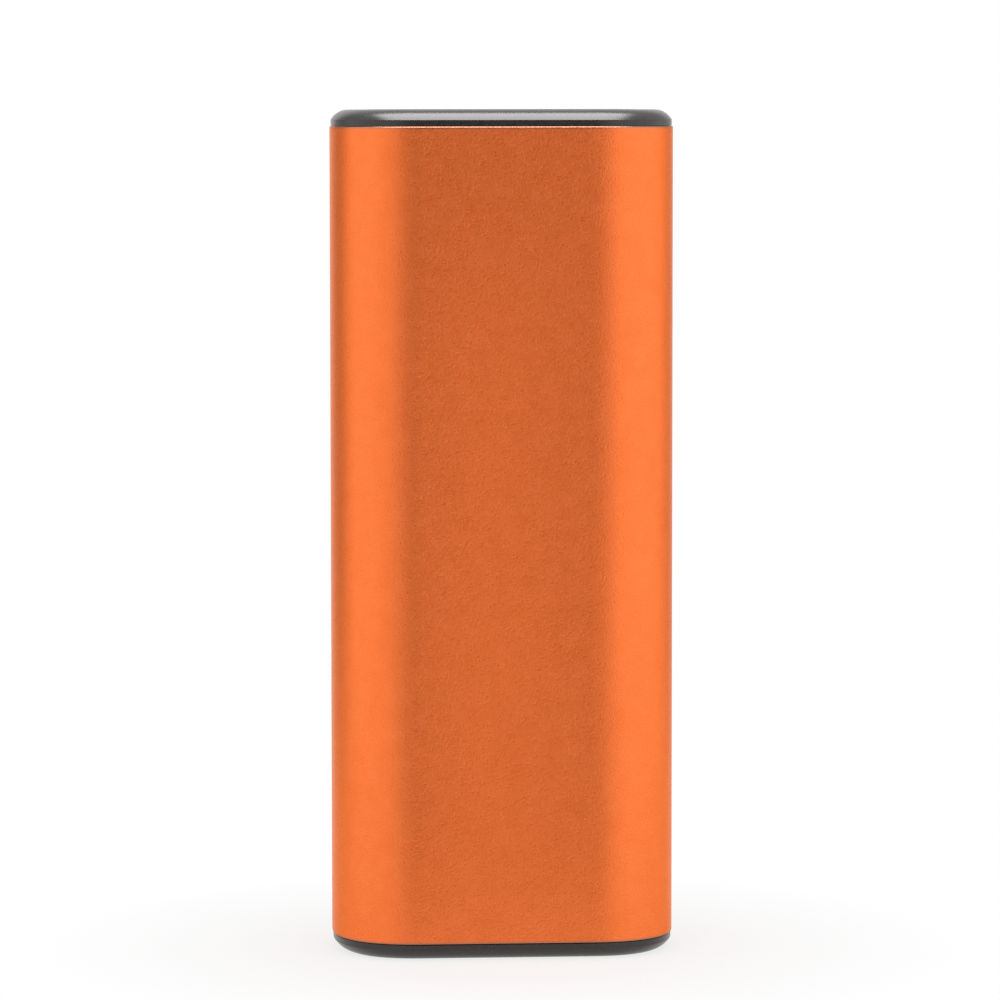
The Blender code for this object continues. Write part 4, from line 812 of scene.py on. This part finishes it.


# %% [markdown]
# ** Bead-blasted, dyed aluminium.** Glass beads leave dimples of up to 0.2 mm, and the anodic
# layer that soaks up the dye is clear, so the metal still shines through in full colour. To the
# eye that is a soft glow in bands with a fine sparkle where the dimples tilt. Broader clouds
# come from uneven blasting. The cut ends are chamfered after blasting, so they lose the dimples.
# Their pale grey-brown colour is a painted sheen: it stands in for the whitish reflection of the
# overhead light on the chamfer, which is the pale line along each cap. A glancing ray has a
# longer way through the dye, so the specular tint keeps the outline orange where bare metal would
# turn white.

# %% Aluminium of the tube
DIMPLE, DIMPLE_DEPTH, DIMPLE_SHARE = 0.2 * MM, 0.048 * MM, 0.6
CLOUD = 2.2 * MM
CHAMFER_AND_PAINTED_SHEEN = 0.4 * MM
anodised, tree, shader, place = new_material("bead_blasted_anodised_aluminium", Metallic=1.0,
                                             Specular_Tint=linear("#FFDABF"))
dimples = node(tree, "ShaderNodeTexNoise", {"Scale": 1 / DIMPLE, "Detail": 2.0, "Roughness": 0.6},
               {"Vector": place}).outputs["Fac"]
clouds = node(tree, "ShaderNodeTexNoise", {"Scale": 1 / CLOUD, "Detail": 3.0},
              {"Vector": place}).outputs["Fac"]
mottle = node(tree, "ShaderNodeMix", {0: DIMPLE_SHARE}, {2: clouds, 3: dimples}).outputs[0]
dye = node(tree, "ShaderNodeValToRGB", links={"Fac": mottle},
           stops=[(0.36, linear("#F07439")), (0.5, linear("#F4783E")), (0.64, linear("#F87C42"))])
height = node(tree, "ShaderNodeSeparateXYZ", links={0: place}).outputs["Z"]
from_middle = node(tree, "ShaderNodeMath", {1: (tube_low.z + tube_high.z) / 2}, {0: height},
                   operation="SUBTRACT")
reach = node(tree, "ShaderNodeMath", links={0: from_middle.outputs[0]}, operation="ABSOLUTE")
half_length = (tube_high.z - tube_low.z) / 2
# Both ends of the tube: the chamfer, where the dimples stop, and a band of painted sheen.
chamfer_and_painted_sheen_mask = node(tree, "ShaderNodeMapRange",
              {"From Min": half_length - CHAMFER_AND_PAINTED_SHEEN, "From Max": half_length},
              {"Value": reach.outputs[0]})
# Painted sheen: the pale grey-brown at both ends stands in for the whitish reflection of the
# overhead light on the chamfer.
painted_sheen = node(tree, "ShaderNodeMix", {7: linear("#9A7865")},
             {0: chamfer_and_painted_sheen_mask.outputs["Result"], 6: dye.outputs["Color"]}, data_type="RGBA")
shine = node(tree, "ShaderNodeMapRange", {"To Min": 0.24, "To Max": 0.33}, {"Value": dimples})
blasted = node(tree, "ShaderNodeMath", {0: 1.0}, {1: chamfer_and_painted_sheen_mask.outputs["Result"]},
               operation="SUBTRACT")
relief = node(tree, "ShaderNodeBump", {"Distance": DIMPLE_DEPTH},
              {"Height": dimples, "Strength": blasted.outputs[0]})
surfaced(shader, painted_sheen.outputs[2], shine, relief)
give("anodised_orange", anodised)

# %% [markdown]
# **Moulded plastics.** The caps are ABS from a spark-eroded mould, so a fine even grain breaks
# the gloss. The plates are polished polycarbonate: almost a mirror, with the faint haze that
# wiping leaves. The button is a satin grey of the same ABS, and the frame inside is nylon with
# short glass fibres, which show as pale streaks along the flow.

# %% Caps, plates, button and frame
moulded = grained("spark_textured_black_ABS", "#1C1512", "#2B231F", 0.24 * MM, (0.24, 0.32),
                  0.0012 * MM, detail=3.0, IOR=1.54)
give("black_plastic", moulded)
polished = grained("polished_black_polycarbonate", "#0A0A0B", "#101012", 6 * MM, (0.05, 0.11),
                   0.002 * MM, IOR=1.585)
give("gloss_black", polished)
satin = grained("satin_grey_ABS", "#3E3E41", "#4B4B4F", 0.2 * MM, (0.38, 0.48), 0.003 * MM,
                detail=3.0, IOR=1.54)
give("button_grey", satin)
nylon = grained("glass_filled_nylon", "#B8B8B4", "#CDCDC8", 0.5 * MM, (0.45, 0.6), 0.006 * MM,
                stretch=(1, 1, 0.25), detail=3.0, IOR=1.53)
give("frame_plastic", nylon)
white_nylon = grained("moulded_white_nylon", "#E2DDD0", "#EEEADF", 0.4 * MM, (0.35, 0.45),
                      0.003 * MM, IOR=1.53)
give("socket_white", white_nylon)
epoxy = grained("moulded_black_epoxy", "#1E1E1F", "#29292B", 0.12 * MM, (0.45, 0.6), 0.004 * MM,
                detail=3.0, IOR=1.55)
give("chip_black", epoxy)

# %% [markdown]
# **Clear plastic and lamps.** The light pipe is clear polycarbonate with polished ends. The lamps
# are a yellow phosphor in silicone, which looks like dull yellow wax when they are off.

# %% Light pipe and lamps
clear = grained("clear_polycarbonate", "#EEF2F3", "#FAFCFC", 1.5 * MM, (0.03, 0.1), 0.001 * MM,
                IOR=1.585, Transmission_Weight=1.0)
give("clear_guide", clear)
phosphor = grained("phosphor_in_silicone", "#D8CB7C", "#E8DE9C", 0.15 * MM, (0.3, 0.4),
                   0.003 * MM, IOR=1.41)
give("led_lens", phosphor)

# %% [markdown]
# **Plated and drawn metals.** Zinc on the screws and cell cans is bright but a little milky.
# Nickel on the ports and strips is brighter, with the fine lines of the rolled sheet along it.
# The capacitor cans are drawn aluminium, with lines round them. The contacts have a flash of
# gold, and the heater tracks are etched copper foil, slightly uneven in colour.

# %% Zinc, nickel, drawn aluminium, gold and copper
zinc = grained("zinc_plated_steel", "#C3C5C9", "#D6D8DB", 0.35 * MM, (0.28, 0.4), 0.004 * MM,
               detail=3.0, Metallic=1.0)
give("zinc_steel", zinc)
nickel = grained("bright_nickel_plate", "#D2CDC4", "#E2DED6", 0.3 * MM, (0.14, 0.26), 0.002 * MM,
                 stretch=(1, 1, 0.08), detail=3.0, Metallic=1.0)
give("nickel", nickel)
drawn_can = grained("drawn_aluminium_can", "#D6D7DA", "#E6E7E9", 0.4 * MM, (0.22, 0.34),
                    0.003 * MM, stretch=(0.1, 1, 0.1), detail=3.0, Metallic=1.0)
give("capacitor_can", drawn_can)
gold = grained("gold_flash_on_nickel", "#DDB45F", "#EBC878", 0.3 * MM, (0.16, 0.28), 0.002 * MM,
               stretch=(1, 1, 0.2), Metallic=1.0)
give("contact_gold", gold)
copper = grained("etched_copper_foil", "#C77F5E", "#DC9874", 0.8 * MM, (0.26, 0.42), 0.004 * MM,
                 detail=3.0, Metallic=1.0)
give("copper_track", copper)

# %% [markdown]
# **Sleeves, film, paper and foam.** The cells wear a heat-shrunk sleeve: glossy, with slow waves
# where it shrank. The heater film is amber polyimide with a thin glossy surface. The rings on
# the cells are pressed paper with visible fibres. The foam has open cells of about half a
# millimetre, which a cell pattern draws better than a noise.

# %% Sleeve, film, paper and ferrite
sleeve = grained("heat_shrunk_PVC_sleeve", "#1D6CB0", "#2476BC", 3 * MM, (0.16, 0.26), 0.02 * MM,
                 IOR=1.53)
give("cell_wrap", sleeve)
film = grained("amber_polyimide_film", "#B96A1E", "#C97C2A", 2.5 * MM, (0.14, 0.24), 0.01 * MM,
               IOR=1.7)
give("polyimide_film", film)
paper = grained("pressed_insulating_paper", "#D9D9CC", "#EBEBE0", 0.2 * MM, (0.8, 0.95),
                0.01 * MM, stretch=(1, 0.3, 1), detail=4.0, IOR=1.5)
give("insulator_paper", paper)
ferrite = grained("pressed_ferrite", "#4B4B4F", "#5E5E62", 0.15 * MM, (0.5, 0.7), 0.008 * MM,
                  detail=4.0, IOR=1.55)
give("ferrite", ferrite)
bead = grained("dipped_epoxy_bead", "#4A2418", "#5E3122", 0.6 * MM, (0.12, 0.22), 0.01 * MM,
               IOR=1.55)
give("thermistor_bead", bead)

# %% Open-cell foam
FOAM_CELL, FOAM_DEPTH = 0.5 * MM, 0.12 * MM
foam, tree, shader, place = new_material("open_cell_foam", IOR=1.5)
cells = node(tree, "ShaderNodeTexVoronoi", {"Scale": 1 / FOAM_CELL}, {"Vector": place},
             feature="DISTANCE_TO_EDGE").outputs["Distance"]
# The hollows of the cells are painted darker than their walls: painted shade in the pits.
tint = node(tree, "ShaderNodeValToRGB", links={"Fac": cells},
            stops=[(0.0, linear("#5A5A5D")), (0.25, linear("#2C2C2E"))])
shine = node(tree, "ShaderNodeMapRange", {"From Max": 0.3, "To Min": 0.75, "To Max": 0.95},
             {"Value": cells})
relief = node(tree, "ShaderNodeBump", {"Distance": FOAM_DEPTH}, {"Height": cells}, invert=True)
surfaced(shader, tint.outputs["Color"], shine, relief)
give("foam", foam)

# %% [markdown]
# **Solder mask over woven glass.** The green lacquer is glossy, and the weave of the glass cloth
# below telegraphs through it as a faint grid of about half a millimetre.

# %% Circuit board
THREAD, WEAVE_DEPTH = 0.5 * MM, 0.01 * MM
WAVES = 3.2  # waves in a length of one, in a wave texture of scale one
mask, tree, shader, place = new_material("green_solder_mask", IOR=1.52)
warp, weft = [node(tree, "ShaderNodeTexWave",
                   {"Scale": 1 / THREAD / WAVES, "Distortion": 0.6, "Detail": 1.0},
                   {"Vector": place}, bands_direction=axis).outputs["Fac"] for axis in ("X", "Z")]
weave = node(tree, "ShaderNodeMath", links={0: warp, 1: weft}, operation="MULTIPLY").outputs[0]
tint = node(tree, "ShaderNodeValToRGB", links={"Fac": weave},
            stops=[(0.0, linear("#17623A")), (1.0, linear("#1F7547"))])
shine = node(tree, "ShaderNodeMapRange", {"To Min": 0.18, "To Max": 0.3}, {"Value": weave})
relief = node(tree, "ShaderNodeBump", {"Distance": WEAVE_DEPTH}, {"Height": weave})
surfaced(shader, tint.outputs["Color"], shine, relief)
give("board_green", mask)

# %% [markdown]
# **Leads.** Silicone insulation is soft and slightly dusty, so its gloss is broken by a grain of
# about a third of a millimetre. The cable to the switch wears a woven grey sleeve.

# %% Insulated leads and the cable
for colour, dark, light in (("red", "#A81C14", "#BC2820"), ("black", "#1B1B1C", "#28282A"),
                            ("yellow", "#D9A419", "#E8B52C")):
    silicone = grained(f"{colour}_silicone_insulation", dark, light, 0.35 * MM, (0.4, 0.55),
                       0.006 * MM, IOR=1.41)
    give(f"lead_{colour}", silicone)
woven = grained("woven_grey_sleeve", "#77777B", "#9A9A9E", 0.3 * MM, (0.6, 0.8), 0.03 * MM,
                stretch=(1, 1, 0.6), detail=3.0, IOR=1.5)
give("cable_grey", woven)

# %% [markdown]
# ## The studio
# The warmer stands on a small sheet of white card, and everything round it is white for the
# camera, for metal and for glass. Only close to the warmer does the card keep its own shade, so
# that the warmer stands in a faint shadow.

# %% The card it stands on
CARD_HALF_WIDTH, CARD_FRONT, CARD_BACK, CARD_DROP = 0.2, 0.07, 0.2, 0.02 * MM
SHADE_NEAR, SHADE_FAR, SHADE_SHARE = 25 * MM, 60 * MM, 0.78
floor = sheet("floor", 2 * CARD_HALF_WIDTH, CARD_FRONT + CARD_BACK)
bpy.ops.transform.translate(value=(0, (CARD_BACK - CARD_FRONT) / 2, -CARD_DROP))
closed(floor)
card, tree, shader, place = new_material("white_studio_card", Roughness=0.9)
shader.inputs["Base Color"].default_value = linear("#D8D8D7")
rays = node(tree, "ShaderNodeLightPath").outputs
seen = node(tree, "ShaderNodeMath", links={0: rays["Is Camera Ray"], 1: rays["Is Glossy Ray"]},
            operation="ADD")
seen = node(tree, "ShaderNodeMath", links={0: seen.outputs[0], 1: rays["Is Transmission Ray"]},
            operation="ADD", use_clamp=True)
away = node(tree, "ShaderNodeVectorMath", links={0: place}, operation="LENGTH").outputs["Value"]
share = node(tree, "ShaderNodeMapRange",
             {"From Min": SHADE_NEAR, "From Max": SHADE_FAR, "To Min": SHADE_SHARE,
              "To Max": 1.0}, {"Value": away})
part = node(tree, "ShaderNodeMath", links={0: seen.outputs[0], 1: share.outputs["Result"]},
            operation="MULTIPLY")
glow = node(tree, "ShaderNodeEmission", {"Color": (1, 1, 1, 1), "Strength": 1.0})
blend = node(tree, "ShaderNodeMixShader",
             links={0: part.outputs[0], 1: shader.outputs[0], 2: glow.outputs[0]})
tree.links.new(blend.outputs[0], tree.nodes["Material Output"].inputs["Surface"])
floor.data.materials.append(card)

# %% [markdown]
# Metal shows the room rather than its own colour, so the room does the drawing. It is a world
# whose level depends on the direction, like a tent of white cloth: a dark slot where the camera
# looks in, which the flat face shows, bright cloth on both sides, which gives the two light bands,
# dimmer cloth behind those, which gives the dark edges, and white at the very back, where the
# camera looks. The stops are compass angles from the camera's side, with the level there. High
# up and low down the tent is white all round, and that makes the face paler towards its foot.

# %% The room
ROOM = [(-180, 1.0), (-158, 1.0), (-150, 0.5), (-125, 0.5), (-105, 1.25), (-60, 1.2), (-46, 1.08),
        (-28, 1.0), (-18, 0.87), (-12, 0.68), (-6.5, 0.02), (5.5, 0.02), (11, 0.5), (18, 1.05),
        (24, 1.2), (60, 1.32), (108, 1.25), (125, 0.88), (150, 0.62), (158, 1.0), (180, 1.0)]
FOOT_START, FOOT_END = -0.03, -0.35
TOP_START, TOP_END = 0.5, 0.8
world = bpy.data.worlds.new("room")
bpy.context.scene.world = world
world.use_nodes = True
tree = world.node_tree
way = node(tree, "ShaderNodeSeparateXYZ",
           links={0: node(tree, "ShaderNodeTexCoord").outputs["Generated"]}).outputs
towards = node(tree, "ShaderNodeMath", {1: -1.0}, {0: way["Y"]}, operation="MULTIPLY")
turn = node(tree, "ShaderNodeMath", links={0: way["X"], 1: towards.outputs[0]},
            operation="ARCTAN2")
part = node(tree, "ShaderNodeMapRange", {"From Min": -pi, "From Max": pi},
            {"Value": turn.outputs[0]})
walls = node(tree, "ShaderNodeValToRGB", links={"Fac": part.outputs["Result"]},
             stops=[((angle + 180) / 360, (level, level, level, 1)) for angle, level in ROOM])
down = node(tree, "ShaderNodeMapRange", {"From Min": FOOT_START, "From Max": FOOT_END},
            {"Value": way["Z"]})
lower = node(tree, "ShaderNodeMix", {7: (1, 1, 1, 1)},
             {0: down.outputs["Result"], 6: walls.outputs["Color"]}, data_type="RGBA")
up = node(tree, "ShaderNodeMapRange", {"From Min": TOP_START, "From Max": TOP_END},
          {"Value": way["Z"]})
mixed = node(tree, "ShaderNodeMix", {7: (1, 1, 1, 1)},
             {0: up.outputs["Result"], 6: lower.outputs[2]}, data_type="RGBA")
tree.links.new(mixed.outputs[2], tree.nodes["Background"].inputs["Color"])
rays = node(tree, "ShaderNodeLightPath").outputs
seen = node(tree, "ShaderNodeMath",
            links={0: rays["Is Camera Ray"], 1: rays["Is Transmission Ray"]}, operation="MAXIMUM")
white = node(tree, "ShaderNodeBackground", {"Color": (1, 1, 1, 1), "Strength": 1.0})
both = node(tree, "ShaderNodeMixShader",
            links={0: seen.outputs[0], 1: tree.nodes["Background"].outputs[0],
                   2: white.outputs[0]})
tree.links.new(both.outputs[0], tree.nodes["World Output"].inputs["Surface"])

# %% [markdown]
# Soft boxes finish the light. A wide one hangs above and draws the pale line on the crown of the
# top cap. It shows in glossy surfaces alone, so that matt ones keep the colour they are given. A
# slim one stands close in front and lifts the middle of the dark face.

# %% Soft boxes
OVERHEAD_PLACE, OVERHEAD_SIZE, OVERHEAD_LEVEL = (0, -0.1, 0.85), (0.7, 0.76), 8.8
FRONT_PLACE, FRONT_SIZE, FRONT_LEVEL = (-0.6 * MM, -42.5 * MM, 45 * MM), (4 * MM, 80 * MM), 0.3


def soft_box(name, place, aim, size, level):
    """Add a rectangular light that faces a point, as bright as a surface of that level."""
    bpy.ops.object.light_add(type="AREA", location=place)
    box = bpy.context.object
    box.name = name
    box.data.shape = "RECTANGLE"
    box.data.size, box.data.size_y = size
    box.data.energy = level * pi * size[0] * size[1]
    box.rotation_euler = (Vector(aim) - Vector(place)).to_track_quat("-Z", "Y").to_euler()
    box.visible_camera = False
    print(name, "W:", round(box.data.energy, 3))
    return box


overhead = soft_box("box_overhead", OVERHEAD_PLACE, (0, 0, frame_high.z), OVERHEAD_SIZE,
                    OVERHEAD_LEVEL)
overhead.visible_diffuse = False
soft_box("box_front", FRONT_PLACE, (FRONT_PLACE[0], 0, FRONT_PLACE[2]), FRONT_SIZE, FRONT_LEVEL)

# %% [markdown]
# ## The camera
# The photograph fits a long lens at about 0.63 m, just above the warmer's top and a few degrees
# to its left. The camera is turned so that the warmer's middle falls on its pixel.

# %% Camera
LENS, SENSOR = 180.0, 36.0
DISTANCE = 0.6285
EYE_HEIGHT = 107.5 * MM
CAMERA_TURN = radians(-4.0)
CAMERA_ROLL = radians(0.05)
IMAGE_HALF = 500
AIM_PIXEL = (501, 529.2)
bpy.ops.object.camera_add()
camera = bpy.context.object
camera.name = "camera"
camera.data.lens, camera.data.sensor_width = LENS, SENSOR
bpy.context.scene.camera = camera
half_view = SENSOR / 2 / LENS
centre = (frame_low + frame_high) / 2
left, below = [atan((pixel / IMAGE_HALF - 1) * half_view) for pixel in AIM_PIXEL]
down = atan((EYE_HEIGHT - centre.z) / DISTANCE) - below
camera.location = (DISTANCE * sin(CAMERA_TURN), -DISTANCE * cos(CAMERA_TURN), EYE_HEIGHT)
camera.rotation_euler = (pi / 2 - down, CAMERA_ROLL, CAMERA_TURN + left)
bpy.context.scene.view_settings.view_transform = "Standard"
